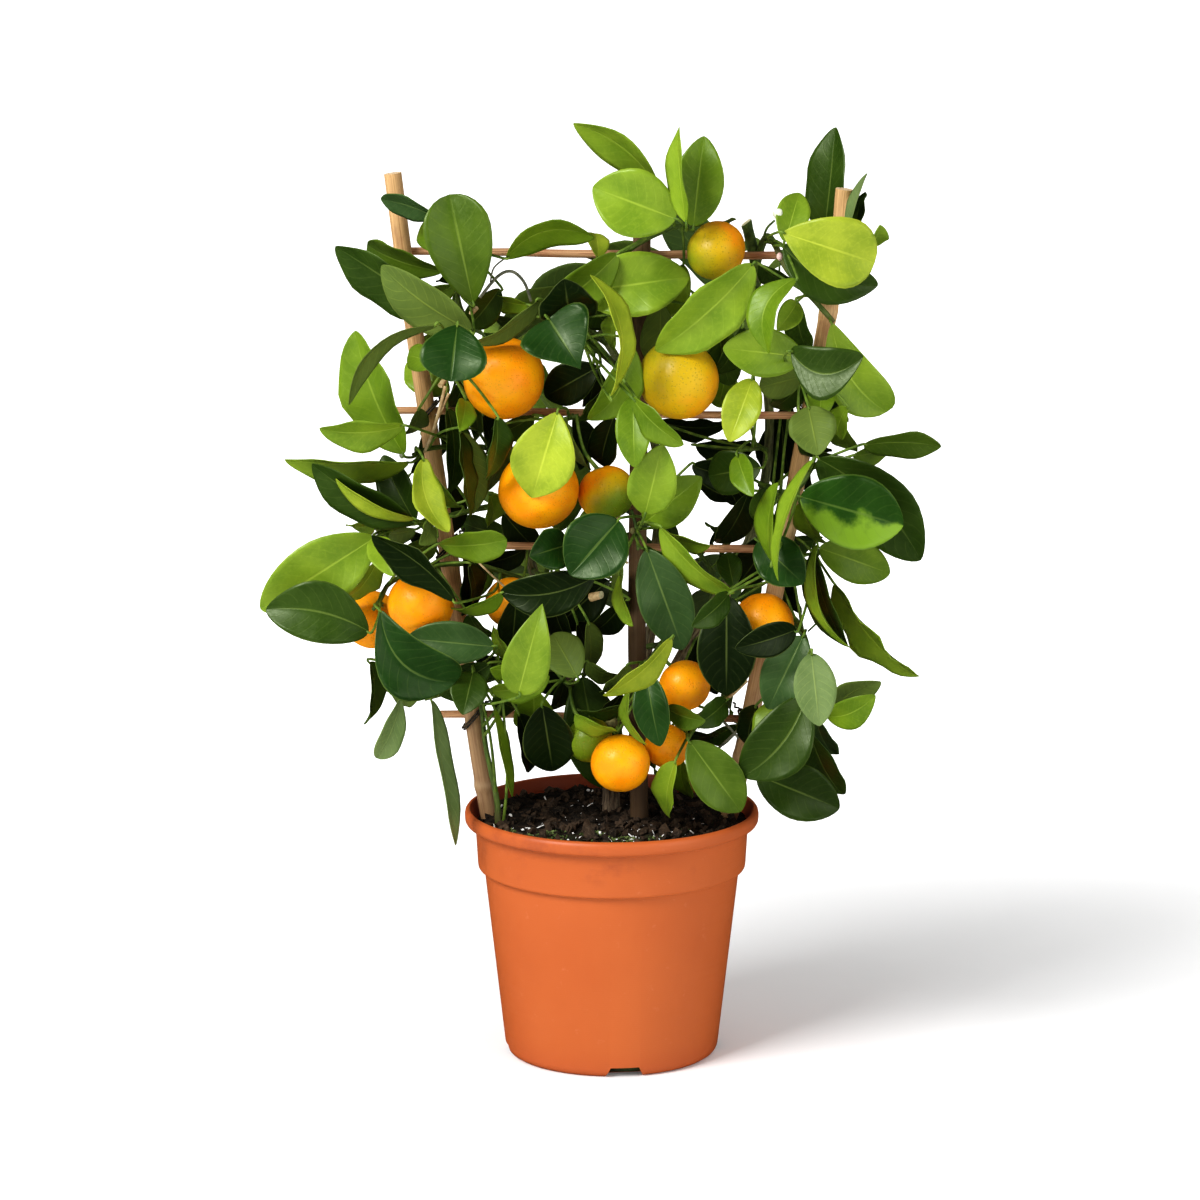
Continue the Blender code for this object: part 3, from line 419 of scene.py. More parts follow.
def scatter(name, count, seed, low, high, shape, material, keep=None):
    """Many small grains of one kind lying on the mix, in one piece."""
    dice = random.Random(seed)
    whole = bmesh.new()
    for _ in range(count):
        turn, reach = dice.uniform(0, 2 * math.pi), SCATTER_RADIUS * math.sqrt(dice.random())
        x, y = reach * math.cos(turn), reach * math.sin(turn)
        if keep and not keep(x, y, dice):
            continue
        size = dice.uniform(low, high)
        spin = Quaternion([dice.gauss(0, 1) for _ in range(4)]).normalized().to_matrix().to_4x4()
        stretch = Matrix.Diagonal((size, size * dice.uniform(0.5, 0.9), size * dice.uniform(0.3, 0.7), 1))
        shift = Matrix.Translation((x, y, soil_height(x, y) + size * 0.15))
        shape(whole, shift @ spin @ stretch)
    finish_piece(name, whole, [material], smooth=False)


def bark_bit(whole, matrix):
    bmesh.ops.create_cube(whole, size=1.6, matrix=matrix @ Matrix.Shear("XY", 4, (0.3, 0.2)))


def splinter(whole, matrix):
    bmesh.ops.create_cube(whole, size=1.0, matrix=matrix @ Matrix.Diagonal((2.0, 0.3, 0.25, 1)))


def round_grain(whole, matrix):
    bmesh.ops.create_icosphere(whole, subdivisions=1, radius=0.8, matrix=matrix)


chips = Look("bark_chips", Roughness=0.9, Specular_IOR_Level=0.25)
where = chips.place()
colour = chips.mix(chips.noise(where, 90.0).ramp(0.35, 0.65), (0.010, 0.007, 0.0045), (0.062, 0.038, 0.022))
colour = chips.mix(chips.noise(where, 700.0).ramp(0.45, 0.8, 0.0, 0.6), colour, (0.12, 0.085, 0.055))
chips_look = chips.feed(Base_Color=colour, Normal=chips.bump(chips.noise(where, 900.0), 0.6, 0.0006))
scatter("bark_bits", 520, 3, 1.0, 4.0, bark_bit, chips_look)

grains = Look("perlite", Roughness=0.85)
where = grains.place()
colour = grains.mix(grains.noise(where, 500.0), (0.72, 0.70, 0.66), (0.95, 0.95, 0.93))
perlite_look = grains.feed(Base_Color=colour, Normal=grains.bump(grains.cells(where, 900.0), 0.5, 0.0005))


def washed_forward(x, y, dice):
    """Most of the perlite lies in a cluster at the middle of the front."""
    return dice.random() < (0.8 if y < -25 and abs(x - 5) < 32 else 0.1)


scatter("perlite_grains", 420, 11, 0.6, 2.3, round_grain, perlite_look, washed_forward)
scatter("splinters", 60, 7, 0.5, 3.6, splinter, perlite_look)

mosses = Look("moss", Roughness=0.9)
where = mosses.place()
colour = mosses.mix(mosses.noise(where, 260.0).ramp(0.3, 0.7), (0.045, 0.072, 0.018), (0.17, 0.22, 0.075))
moss_look = mosses.feed(Base_Color=colour, Normal=mosses.bump(mosses.noise(where, 1500.0), 0.8, 0.0008))


def mossy(x, y, dice):
    """Moss grows in a band along the front of the wall and in a few patches behind it."""
    patch = noise.noise(Vector((x / 13.0, y / 9.0, 4.0)))
    return y < -28 and x < 45 and patch > (-0.25 if math.hypot(x, y) > 66 else 0.10)


scatter("moss_tufts", 7000, 19, 0.6, 1.5, round_grain, moss_look, mossy)


# ---------------------------------------------------------------------------------------------
# Trellis: three bamboo canes pushed into the mix, four thin split rods behind them, and turns of
# dark garden wire that hold rods to canes.
# ---------------------------------------------------------------------------------------------
def smooth_route(points, sizes, steps):
    """Points and radii of a smooth curve through the given ones."""
    if steps == 1 or len(points) < 3:
        return list(points), list(sizes)
    made, radii = [], []
    for row in range(len(points) - 1):
        p0 = points[max(row - 1, 0)]
        p1, p2 = points[row], points[row + 1]
        p3 = points[min(row + 2, len(points) - 1)]
        for step in range(steps):
            t = step / steps
            bend = (2 * p1 + (p2 - p0) * t + (2 * p0 - 5 * p1 + 4 * p2 - p3) * t * t
                    + (3 * p1 - p0 - 3 * p2 + p3) * t ** 3)
            made.append(bend * 0.5)
            radii.append(sizes[row] + (sizes[row + 1] - sizes[row]) * t)
    return made + [points[-1]], radii + [sizes[-1]]


def tapered(radii, points):
    """One radius for each point, going evenly from the first to the last."""
    first, last = radii
    return [first + (last - first) * row / (len(points) - 1) for row in range(len(points))]


def rod_shape(route, radii, sides=8, steps=4):
    """A closed round rod along the route. Its corners carry the run: around it and along it, in mm."""
    points, sizes = smooth_route(route, radii, steps)
    work = bmesh.new()
    run = work.verts.layers.float_vector.new("run")
    bmesh.ops.create_cone(work, cap_ends=True, segments=sides, radius1=1, radius2=1, depth=1)
    rails = [edge for edge in work.edges if abs(edge.verts[0].co.z - edge.verts[1].co.z) > 0.5]
    if len(points) > 2:
        bmesh.ops.subdivide_edges(work, edges=rails, cuts=len(points) - 2)
    frames = []
    heading = (points[1] - points[0]).normalized()
    side = heading.orthogonal().normalized()
    length = 0.0
    for row, point in enumerate(points):
        before, after = points[max(row - 1, 0)], points[min(row + 1, len(points) - 1)]
        turned_way = (after - before).normalized()
        side = heading.rotation_difference(turned_way) @ side
        heading = turned_way
        length += (point - before).length
        frames.append((point, side.copy(), heading.cross(side), sizes[row], length))
    for corner in work.verts:
        row = round((corner.co.z + 0.5) * (len(points) - 1))
        point, side, other, size, length = frames[row]
        x, y = corner.co.x, corner.co.y
        corner[run] = (x * size, y * size, length)
        corner.co = point + (side * x + other * y) * size
    return work


def join_shape(whole, small, material=None):
    """Adds one closed shape to a larger piece, in one material or in those that its faces have."""
    if material is not None:
        for face in small.faces:
            face.material_index = material
    carrier = bpy.data.meshes.new("carrier")
    small.to_mesh(carrier)
    small.free()
    whole.from_mesh(carrier)
    bpy.data.meshes.remove(carrier)


STAND = Vector((-7.0, -3000.0, 898.0))


def seen(x, z, forward=0.0):
    """The point that covers (x, z) of the upright plane, moved forward along the line of sight."""
    on_plane = Vector((x, 0.0, z))
    return on_plane + (STAND - on_plane) * (forward / 3000.0)


TRELLIS_BACK, TRELLIS_TURN = 2.0, 0.08
plane_way = Vector((1, -TRELLIS_TURN, 0)).normalized()
plane_out = Vector((-TRELLIS_TURN, -1, 0)).normalized()


def on_trellis(x, z):
    """The point of the trellis plane that covers (x, z) of the upright plane."""
    start = Vector((x, 0.0, z))
    sight = STAND - start
    return start + sight * ((TRELLIS_BACK - TRELLIS_TURN * start.x) / (sight.y + TRELLIS_TURN * sight.x))


CANE_RADIUS, CANE_DEPTH = 5.3, 18
CANES = {
    "cane_left": ((-70.8, 138), (-80.6, 203), (-113.2, 430), (-124, 514)),
    "cane_middle": ((16, 138), (14.5, 240), (14.8, 302), (16, 427), (17.5, 500)),
    "cane_right": ((66.7, 136), (76.3, 179), (122.5, 432), (131.5, 505)),
}
KNOTS = {"cane_left": (38, 172, 318), "cane_middle": (64, 210, 330), "cane_right": (58, 196, 322)}
KNOT_SWELL, KNOT_LENGTH, KNOT_TONE, KNOT_BAND = 0.12, 3.0, 0.7, 2.0
CANE_TAPER, CANE_UNEVEN = 0.00015, 0.015
bamboo = Look("bamboo", IOR=1.5, Specular_IOR_Level=0.25)
run = bamboo.mark("run").out("Vector")
along = bamboo.split(run)[2]
streak = bamboo.noise(bamboo.scaled(run, (1.4, 1.4, 0.018)), 1.0, 5.0, 0.65)
blotch = bamboo.noise(bamboo.scaled(run, (0.10, 0.10, 0.05)), 1.0, 4.0, 0.6)
speckle = bamboo.noise(bamboo.scaled(run, (0.9, 0.9, 0.35)), 1.0, 3.0)
knot = bamboo.mark("knot").out("Fac")
colour = bamboo.mix(streak.ramp(0.30, 0.70), (0.35, 0.195, 0.080), (0.64, 0.405, 0.185))
colour = bamboo.mix(blotch.ramp(0.50, 0.74, 0.0, 0.55), colour, (0.27, 0.130, 0.060))
colour = bamboo.mix(speckle.ramp(0.66, 0.78, 0.0, 0.6), colour, (0.13, 0.075, 0.040))
colour = bamboo.mix(knot * 0.7, colour, (0.72, 0.52, 0.28))
across, _, up = bamboo.split(bamboo.place())
colour = bamboo.mix(up.ramp(0.15, 0.34, 0.55, 0.0), colour, (0.170, 0.105, 0.068))
# Painted shade: the middle cane, which stands in the shade of the leaves, is darkened.
colour = bamboo.mix(across.size().ramp(0.030, 0.050, 0.80, 0.0), colour, (0.045, 0.028, 0.016))
bamboo_look = bamboo.feed(
    Base_Color=colour,
    Roughness=streak.ramp(0.2, 0.8, 0.38, 0.62),
    Normal=bamboo.bump(streak + speckle * 0.3, 0.35, 0.0004),
)
ends = Look("cut_end", Roughness=0.85)
where = ends.place()
pith = ends.cells(where, 900.0)
cut_look = ends.feed(Base_Color=ends.mix(pith.ramp(0.1, 0.6), (0.34, 0.20, 0.10), (0.74, 0.56, 0.35)),
                     Normal=ends.bump(pith, 0.5, 0.0004))
for name, route in CANES.items():
    points = [on_trellis(x, z) for x, z in route]
    foot = points[0] + (points[0] - points[1]).normalized() * CANE_DEPTH
    dense, sizes = smooth_route([foot, *points], [CANE_RADIUS] * (len(points) + 1), 40)
    length = 0.0
    for row, point in enumerate(dense):
        length += (point - dense[max(row - 1, 0)]).length
        swell = sum(KNOT_SWELL * math.exp(-((length - at) / KNOT_LENGTH) ** 2) for at in KNOTS[name])
        sizes[row] *= 1.0 - CANE_TAPER * length + swell + CANE_UNEVEN * noise.noise(point / 24.0)
    small = rod_shape(dense, sizes, 24, 1)
    run_layer = small.verts.layers.float_vector["run"]
    knot_layer = small.verts.layers.float.new("knot")
    for corner in small.verts:
        level = corner[run_layer].z + corner[run_layer].x * 0.25
        bands = (KNOT_TONE * math.exp(-((level - at) / KNOT_BAND) ** 2) for at in KNOTS[name])
        corner[knot_layer] = sum(bands)
    whole = bmesh.new()
    join_shape(whole, small)
    for face in whole.faces:
        if len(face.verts) > 10:
            face.material_index = 1
    finish_piece(name + "_bamboo", whole, [bamboo_look, cut_look], [name], angle=50)

ROD_RADIUS, ROD_CLEARANCE, ROD_STEPS = 2.3, 0.3, 12
RODS = {"rod_1": (196.8, -100, 90), "rod_2": (297, -101, 107), "rod_3": (375, -129, 122),
        "rod_4": (467, -126, 138)}
split_wood = Look("split_rod", Roughness=0.6)
run = split_wood.mark("run").out("Vector")
streak = split_wood.noise(split_wood.scaled(run, (2.4, 2.4, 0.03)), 1.0, 5.0, 0.6)
patch = split_wood.noise(split_wood.scaled(run, (0.1, 0.1, 0.04)), 1.0, 3.0)
colour = split_wood.mix(streak.ramp(0.3, 0.7), (0.30, 0.14, 0.065), (0.66, 0.40, 0.21))
colour = split_wood.mix(patch.ramp(0.45, 0.7, 0.0, 0.5), colour, (0.42, 0.15, 0.08))
rod_look = split_wood.feed(Base_Color=colour, Normal=split_wood.bump(streak, 0.5, 0.0004))
for name, (level, left, right) in RODS.items():
    back = plane_out * -(CANE_RADIUS + ROD_RADIUS + ROD_CLEARANCE)
    height = on_trellis(0, level)
    dice = random.Random(level)
    points = []
    for step in range(ROD_STEPS + 1):
        x = left + (right - left) * step / ROD_STEPS
        wander = Vector((0, dice.uniform(-0.2, 0.2), dice.uniform(-0.35, 0.35)))
        points.append(height + plane_way * (x / plane_way.x) + back + wander)
    whole = bmesh.new()
    sizes = [ROD_RADIUS + dice.uniform(-0.2, 0.1) for _ in points]
    join_shape(whole, rod_shape(points, sizes, 12, 3))
    finish_piece(name + "_split", whole, [rod_look], [name], angle=50)

TIES = (("cane_left", "rod_1"), ("cane_left", "rod_2"), ("cane_left", "rod_3"),
        ("cane_right", "rod_1"), ("cane_right", "rod_3"), ("cane_right", "rod_4"))
TIE_LOOP = ((-9.0, 0), (-7.3, -4.5), (-3.6, -6.4), (0, -6.8), (3.6, -6.4), (7.3, -4.5), (9.0, 0),
            (8.2, 4.2), (5.6, 8.3), (2.9, 10.9), (-2.9, 10.9), (-5.6, 8.3), (-8.2, 4.2), (-9.0, -0.6))
WIRE_RADIUS, HALF_GAP = 0.6, 0.7
TWIST_RADIUS, TWIST_START, TWIST_RISE, TWIST_REACH, TWIST_TURN = 0.55, 9.2, 0.9, 0.8, 1.6
wire = Look("garden_wire", Roughness=0.55)
colour = wire.mix(wire.noise(wire.place(), 500.0).ramp(0.4, 0.7), (0.030, 0.026, 0.020), (0.10, 0.08, 0.05))
wire_look = wire.feed(Base_Color=colour)
for number, (cane, rod) in enumerate(TIES, 1):
    level = on_trellis(0, RODS[rod][0]).z
    route = [on_trellis(x, z) for x, z in CANES[cane]]
    low, high = next((a, b) for a, b in zip(route, route[1:]) if a.z <= level <= b.z)
    crossing = low.lerp(high, (level - low.z) / (high.z - low.z))
    rod_way = plane_way if crossing.x < 0 else -plane_way
    slant = ((high - low).normalized() + rod_way).normalized()
    beside = slant.cross(plane_out)
    whole = bmesh.new()
    for shift in (-HALF_GAP, HALF_GAP):
        loop = [crossing + slant * u - plane_out * v + beside * shift for u, v in TIE_LOOP]
        join_shape(whole, rod_shape(loop, [WIRE_RADIUS] * len(loop), 8, 3))
    twist = crossing + slant * TWIST_START
    spiral = [twist + slant * (TWIST_RISE * step) + plane_out * (TWIST_REACH * math.cos(step * TWIST_TURN))
              + beside * (TWIST_REACH * math.sin(step * TWIST_TURN)) for step in range(7)]
    join_shape(whole, rod_shape(spiral, [TWIST_RADIUS] * len(spiral), 8, 3))
    finish_piece(f"tie_{number}_wire", whole, [wire_look], [f"tie_{number}"])


# ---------------------------------------------------------------------------------------------
# Woody frame: a short grey-brown trunk and three branches that fork from it and climb the trellis,
# greener toward their ends.
# ---------------------------------------------------------------------------------------------
LIMBS = {
    "trunk": ((5.4, 4.0), ((-0.5, 110, -18), (-0.5, 143, -20), (0, 168, -23), (1, 188, -25.5))),
    "branch_left": ((3.4, 2.4), (
        (0, 162, -23), (-14, 190, -26), (-30, 238, -30), (-47, 291, -33), (-64, 355, -38),
        (-81, 419, -41), (-89, 442, -41))),
    "branch_right": ((3.4, 2.4), (
        (0, 158, -23), (17, 192, -26), (45, 244, -27), (79, 303, -27), (90, 367, -27),
        (82, 442, -27), (82, 464, -27))),
    "branch_centre": ((3.5, 2.3), (
        (1, 188, -25.5), (7, 201, -28), (16, 216, -29), (25, 267, -29), (25, 291, -28),
        (27, 343, -28), (16, 384, -28), (-7, 424, -28))),
}
TRUNK_FLARE, FLARE_LEVEL, FLARE_FADE = 0.30, 134, 9
bark = Look("bark", Roughness=0.85, Specular_IOR_Level=0.3)
run = bark.mark("run").out("Vector")
where = bark.place()
crack = bark.noise(bark.scaled(run, (0.8, 0.8, 0.10)), 1.0, 6.0, 0.7)
patch = bark.noise(where, 60.0, 4.0)
up = bark.split(where)[2]
young = up.ramp(0.17, 0.36)
old_wood = bark.mix(crack.ramp(0.35, 0.65), (0.075, 0.050, 0.032), (0.30, 0.225, 0.150))
new_wood = bark.mix(crack.ramp(0.35, 0.65), (0.055, 0.068, 0.022), (0.16, 0.18, 0.065))
colour = bark.mix(young, old_wood, new_wood)
colour = bark.mix(patch.ramp(0.55, 0.75, 0.0, 0.5), colour, (0.27, 0.24, 0.17))
bark_wood = bark.feed(Base_Color=colour, Normal=bark.bump(crack, 0.8, 0.0008))
for name, (radii, route) in LIMBS.items():
    points = [seen(*point) for point in route]
    dense, sizes = smooth_route(points, tapered(radii, points), 8)
    for row, point in enumerate(dense):
        above = max(point.z - FLARE_LEVEL, 0)
        flare = TRUNK_FLARE * math.exp(-above / FLARE_FADE) if name == "trunk" else 0.0
        sizes[row] *= (1.0 + flare) * (1 + 0.10 * noise.noise(point / 7.0))
    whole = bmesh.new()
    join_shape(whole, rod_shape(dense, sizes, 14, 1))
    finish_piece(name + "_bark", whole, [bark_wood], [name], angle=60)


# ---------------------------------------------------------------------------------------------
# Foliage: shoots with their leaves. Each leaf is a thin blade, folded along its midrib and arched,
# on a short stalk from its green stem. Old leaves are dark and glossy, young ones lime.
# The rows give the stem's route, then each leaf: base x, z, tip x, z, width across, layer, bow, tone.
# ---------------------------------------------------------------------------------------------
SHOOTS = {
    "shoot_top_centre": ("branch_centre", (2.2, 1.5), (
        (-3, 417, -28), (-15, 427, -14), (-24, 448, -4), (-12, 459, 4), (4, 467, 8), (20, 477, 11),
        (37, 484, 12), (45, 483, 13)), (
        (27, 503, -22, 542, 18, 2, -11, "Lp"), (36, 488, -11, 506, 40, 3, 0, "L"),
        (42, 486, 37, 540, 11, 4, -3, "Ls"), (46, 484, 52, 535, 29, 2, 0, "m"),
        (55, 485, 68, 487, 8, 1, 0, "O"), (-8, 466, -10, 480, 12, 1, 0, "Y"),
        (3, 468, -38, 434, 24, 2, 0, "m"), (-20, 446, 44, 455, 38, 3, 0, "L"),
        (-16, 444, 4, 424, 14, 0, 0, "D"), (40, 462, 24, 430, 16, 1, 0, "L"))),
    "shoot_top_left": ("branch_left", (1.9, 1.3), (
        (-86, 434, -41), (-89, 448, -30), (-92, 460, -14), (-96, 472, 0), (-99, 484, 9)), (
        (-79, 440, -92, 502, 40, 3, 0, "Mw"), (-60, 466, -10, 477, 16, 3, 13, "m"),
        (-100, 489, -131, 499, 12, 2, -4, "B"), (-96, 458, -139, 473, 18, 2, 0, "Mw"),
        (-101, 431, -157, 472, 25, 2, -6, "D"), (-80, 424, -131, 461, 26, 5, 0, "O"),
        (-64, 448, -82, 426, 18, 1, 0, "D"), (-84, 462, -98, 452, 10, 1, 0, "D"),
        (-98, 470, -107, 486, 12, 1, 0, "m"), (-90, 450, -112, 444, 12, 1, 0, "M"))),
    "shoot_upper_centre": ("branch_centre", (2.0, 1.3), (
        (8, 398, -28), (2, 404, -12), (-4, 409, 2), (-14, 417, 9), (-26, 427, 13), (-34, 437, 14)), (
        (-42, 441, -81, 416, 9, 3, 0, "O"), (-48, 439, -70, 446, 9, 2, 0, "m"),
        (-46, 432, -68, 431, 9, 0, 0, "D"), (-24, 430, -27, 453, 34, 4, 0, "K"),
        (-36, 431, -18, 402, 44, 5, 0, "Gt"), (-1, 386, -11, 456, 10, 6, -6, "Y"),
        (10, 417, -13, 372, 22, 4, 5, "m"), (-5, 390, -17, 372, 12, 3, 0, "D"),
        (12, 386, 13, 345, 20, 4, 0, "m"), (12, 385, 41, 358, 14, 4, 0, "m"),
        (-8, 403, -38, 386, 24, 1, 0, "K"), (2, 432, 2, 412, 8, 2, 0, "L"),
        (-11, 402, -15, 381, 12, -1, 0, "K"))),
    "shoot_upper_left": ("branch_left", (1.8, 1.2), (
        (-78, 408, -40), (-84, 411, -26), (-89, 412, -10), (-92, 410, 4), (-95, 401, 13)), (
        (-100, 427, -149, 380, 8, 5, -19, "O"), (-88, 427, -107, 417, 13, 3, 0, "m"),
        (-99, 405, -116, 410, 16, 3, 0, "m"), (-88, 427, -92, 395, 38, 5, 0, "Gw"),
        (-93, 388, -117, 405, 22, 3, 0, "L"), (-84, 384, -87, 366, 12, 4, 0, "m"),
        (-83, 386, -77, 361, 12, 3, 0, "m"), (-84, 398, -92, 380, 13, 2, 0, "D"),
        (-94, 379, -93, 330, 15, 1, 0, "D"), (-110, 379, -118, 364, 9, 1, 0, "O"),
        (-66, 374, -72, 338, 12, 1, 0, "D"), (-74, 376, -72, 352, 9, -1, 0, "K"))),
    "shoot_middle_left": ("branch_left", (1.8, 1.2), (
        (-64, 355, -38), (-77, 357, -22), (-91, 357, -4), (-104, 356, 8), (-114, 352, 13)), (
        (-119, 353, -146, 424, 30, 3, 0, "m"), (-119, 369, -167, 367, 17, 4, 0, "L"),
        (-116, 348, -187, 350, 14, 2, -3, "L"), (-108, 350, -94, 307, 17, 6, -8, "Y"),
        (-86, 365, -79, 318, 14, 3, 0, "O"), (-87, 366, -81, 316, 8, 5, -4, "D"),
        (-108, 364, -116, 340, 9, 1, 0, "D"), (-98, 388, -99, 350, 10, -1, 0, "K"))),
    "shoot_lower_left": ("branch_left", (1.9, 1.2), (
        (-55, 322, -35), (-70, 322, -18), (-88, 318, 0), (-104, 314, 12), (-120, 311, 16),
        (-134, 305, 18)), (
        (-113, 313, -172, 346, 22, 4, -2, "D"), (-113, 315, -158, 338, 7, 5, 0, "Y"),
        (-114, 315, -150, 335, 16, 3, 0, "K"), (-113, 314, -131, 352, 20, 3, 0, "D"),
        (-137, 313, -150, 311, 8, 2, 0, "L"), (-113, 309, -137, 309, 9, 2, 0, "O"),
        (-136, 304, -202, 262, 38, 3, -1, "L"), (-136, 304, -126, 282, 16, 4, 0, "L"),
        (-104, 313, -110, 300, 10, 4, 0, "O"), (-86, 322, -102, 340, 9, 4, 0, "M"),
        (-70, 329, -70, 312, 11, 3, 0, "m"), (-101, 304, -118, 294, 14, 1, 0, "D"),
        (-134, 292, -154, 267, 11, 2, 0, "L"), (-58, 306, -88, 314, 16, 1, 0, "D"),
        (-92, 336, -98, 302, 16, -2, 0, "K"), (-62, 318, -44, 298, 18, -2, 0, "K"),
        (-106, 304, -118, 308, 8, 0, 0, "K"), (-100, 294, -102, 279, 8, -1, 0, "K"))),
    "shoot_outer_left": ("branch_left", (1.8, 1.2), (
        (-42, 276, -32), (-58, 282, -14), (-78, 288, -2), (-100, 288, 6), (-118, 282, 12), (-128, 277, 16),
        (-133, 268, 24), (-137, 262, 33)), (
        (-99, 300, -60, 303, 18, 5, 0, "mw"), (-90, 267, -138, 305, 18, 4, -8, "Kp"),
        (-140, 249, -199, 262, 36, 5, -5, "D"), (-133, 261, -90, 219, 38, 6, -13, "Gw"),
        (-76, 270, -74, 287, 14, 3, 0, "M"), (-50, 297, -76, 290, 12, 1, 0, "K"),
        (-82, 288, -80, 264, 9, 1, 0, "K"), (-82, 259, -70, 246, 10, 1, 0, "D"),
        (-84, 296, -85, 258, 14, -2, 0, "K"), (-104, 262, -96, 238, 14, 0, 0, "K"))),
    "shoot_bottom_left": ("branch_left", (1.8, 1.2), (
        (-26, 226, -29), (-42, 227, -12), (-62, 223, 2), (-84, 216, 11), (-108, 209, 15)), (
        (-122, 209, -136, 174, 14, 4, 0, "Pw"), (-104, 208, -90, 122, 9, 4, -7, "P"),
        (-139, 231, -142, 194, 9, 3, 0, "D"), (-112, 212, -129, 213, 9, 2, 0, "O"),
        (-54, 212, -40, 265, 27, 6, 0, "Lb"), (-68, 203, -58, 151, 6, 3, -4, "m"),
        (-70, 214, -36, 223, 14, 4, 0, "m"), (-68, 211, -54, 204, 12, 2, 0, "D"),
        (-54, 200, -48, 166, 15, 1, 0, "K"), (-70, 230, -100, 212, 20, 2, 0, "D"),
        (-58, 230, -82, 238, 10, -1, 0, "K"))),
    "sucker": ("soil", (2.0, 1.1), (
        (-65, 108, 12), (-66, 136, 12), (-66.5, 149, 10), (-70, 167, 6), (-73, 182, 2), (-76, 208, 0),
        (-83, 228, 2), (-82, 236, 6)), (
        (-68, 240, -118, 245, 25, 4, 0, "B"), (-80, 225, -86, 200, 22, 4, 0, "D"),
        (-54, 230, -70, 227, 9, 4, 0, "m"), (-58, 234, -68, 252, 7, 3, 0, "m"),
        (-66, 230, -79, 225, 12, 1, 0, "D"))),
    "shoot_inner_left": ("branch_left", (1.8, 1.2), (
        (-62, 347, -37), (-57, 354, -20), (-47, 364, 0), (-33, 371, 12), (-19, 375, 14)), (
        (-31, 377, -46, 327, 38, 6, 0, "Yp"), (-64, 368, -72, 330, 11, 3, 0, "O"),
        (-45, 375, -68, 365, 13, 0, 0, "D"), (1, 374, -6, 346, 18, 1, 0, "K"),
        (-26, 372, -12, 344, 8, 2, 0, "O"), (-22, 374, -17, 344, 14, -2, 0, "K"),
        (-66, 356, -58, 330, 14, -2, 0, "K"))),
    "shoot_low_inner_left": ("branch_left", (1.8, 1.2), (
        (-45, 285, -33), (-43, 283, -18), (-40, 281, -4), (-36, 281, 6), (-30, 284, 12)), (
        (-25, 300, -47, 293, 24, 5, 0, "G"), (-63, 272, -92, 262, 8, 3, 0, "m"),
        (-10, 281, -64, 272, 26, 3, 4, "K"), (-55, 269, -58, 238, 20, 3, 0, "K"),
        (-2, 279, -32, 252, 26, 1, 0, "K"), (8, 268, -12, 248, 15, 1, 0, "K"),
        (-14, 254, -16, 222, 11, 1, 0, "O"), (-34, 268, -22, 240, 14, -2, 0, "K"),
        (-20, 254, -17, 234, 10, -1, 0, "K"))),
    "shoot_centre": ("branch_centre", (1.9, 1.2), (
        (26, 318, -28), (26, 317, -14), (24, 314, 0), (18, 311, 9), (13, 307, 13)), (
        (19, 318, 29, 358, 28, 6, 0, "L"), (19, 313, 51, 339, 26, 4, 0, "m"),
        (4, 314, -24, 282, 40, 6, 0, "G"), (20, 297, 41, 238, 31, 6, 0, "B"),
        (18, 298, 48, 287, 12, 4, 0, "D"), (28, 310, 70, 271, 14, 5, 0, "L"),
        (5, 283, 12, 252, 7, 4, 0, "L"), (30, 309, 56, 299, 7, 4, 0, "L"),
        (46, 346, 80, 336, 20, 0, 0, "K"), (6, 290, 9, 262, 6, 2, 0, "O"))),
    "shoot_low_centre": ("branch_centre", (1.9, 1.3), (
        (20, 240, -29), (27, 241, -14), (29, 242, 2), (22, 232, 12), (12, 215, 17), (5, 199, 15)), (
        (34, 245, -5, 211, 12, 6, 0, "Y"), (20, 225, 28, 181, 21, 6, 0, "G"),
        (14, 222, 19, 182, 5, 5, -5, "L"), (2, 190, -21, 200, 9, 4, 0, "L"),
        (8, 206, -20, 203, 6, 3, 0, "D"), (9, 229, -6, 213, 10, 3, 0, "O"),
        (5, 212, -4, 204, 9, 1, 0, "K"))),
    "shoot_low_left": ("branch_left", (1.8, 1.2), (
        (-19, 209, -27), (-22, 213, -12), (-25, 217, 0), (-29, 221, 9)), (
        (-20, 222, -34, 248, 24, 3, 0, "O"), (-17, 222, -5, 156, 34, -2, 0, "D"),
        (-45, 215, -45, 189, 24, 3, 0, "m"), (-40, 205, -34, 166, 30, 2, 0, "K"),
        (-28, 220, -34, 203, 12, 1, 0, "D"), (-46, 240, -32, 212, 20, -1, 0, "K"),
        (-14, 231, 6, 222, 9, 1, 0, "O"))),
    "shoot_low_right": ("branch_right", (1.9, 1.3), (
        (25, 213, -26), (33, 211, -13), (40, 206, 0), (47, 199, 10), (51, 192, 14)), (
        (33, 203, 54, 196, 13, 5, 0, "M"), (66, 208, 48, 193, 14, 4, 0, "D"),
        (45, 184, 75, 142, 30, 6, 0, "M"), (37, 172, 33, 139, 13, 2, 0, "L"),
        (40, 175, 45, 151, 13, 1, 0, "m"), (70, 212, 70, 201, 5, 2, 0, "O"),
        (72, 194, 46, 186, 9, 1, 0, "D"), (52, 250, 60, 212, 16, -1, 0, "K"),
        (42, 191, 60, 187, 8, 0, 0, "K"), (25, 181, 26, 166, 7, 0, 0, "O"))),
    "shoot_bottom_right": ("branch_right", (2.0, 1.4), (
        (56, 262, -27), (72, 263, -14), (90, 262, -8), (103, 258, 4), (110, 248, 13), (114, 232, 17),
        (113, 212, 17), (108, 194, 15)), (
        (110, 246, 90, 203, 28, 5, 0, "B"), (115, 236, 120, 193, 24, 6, 0, "P"),
        (129, 203, 155, 219, 16, 4, 5, "O"), (124, 199, 152, 211, 18, 5, -3, "m"),
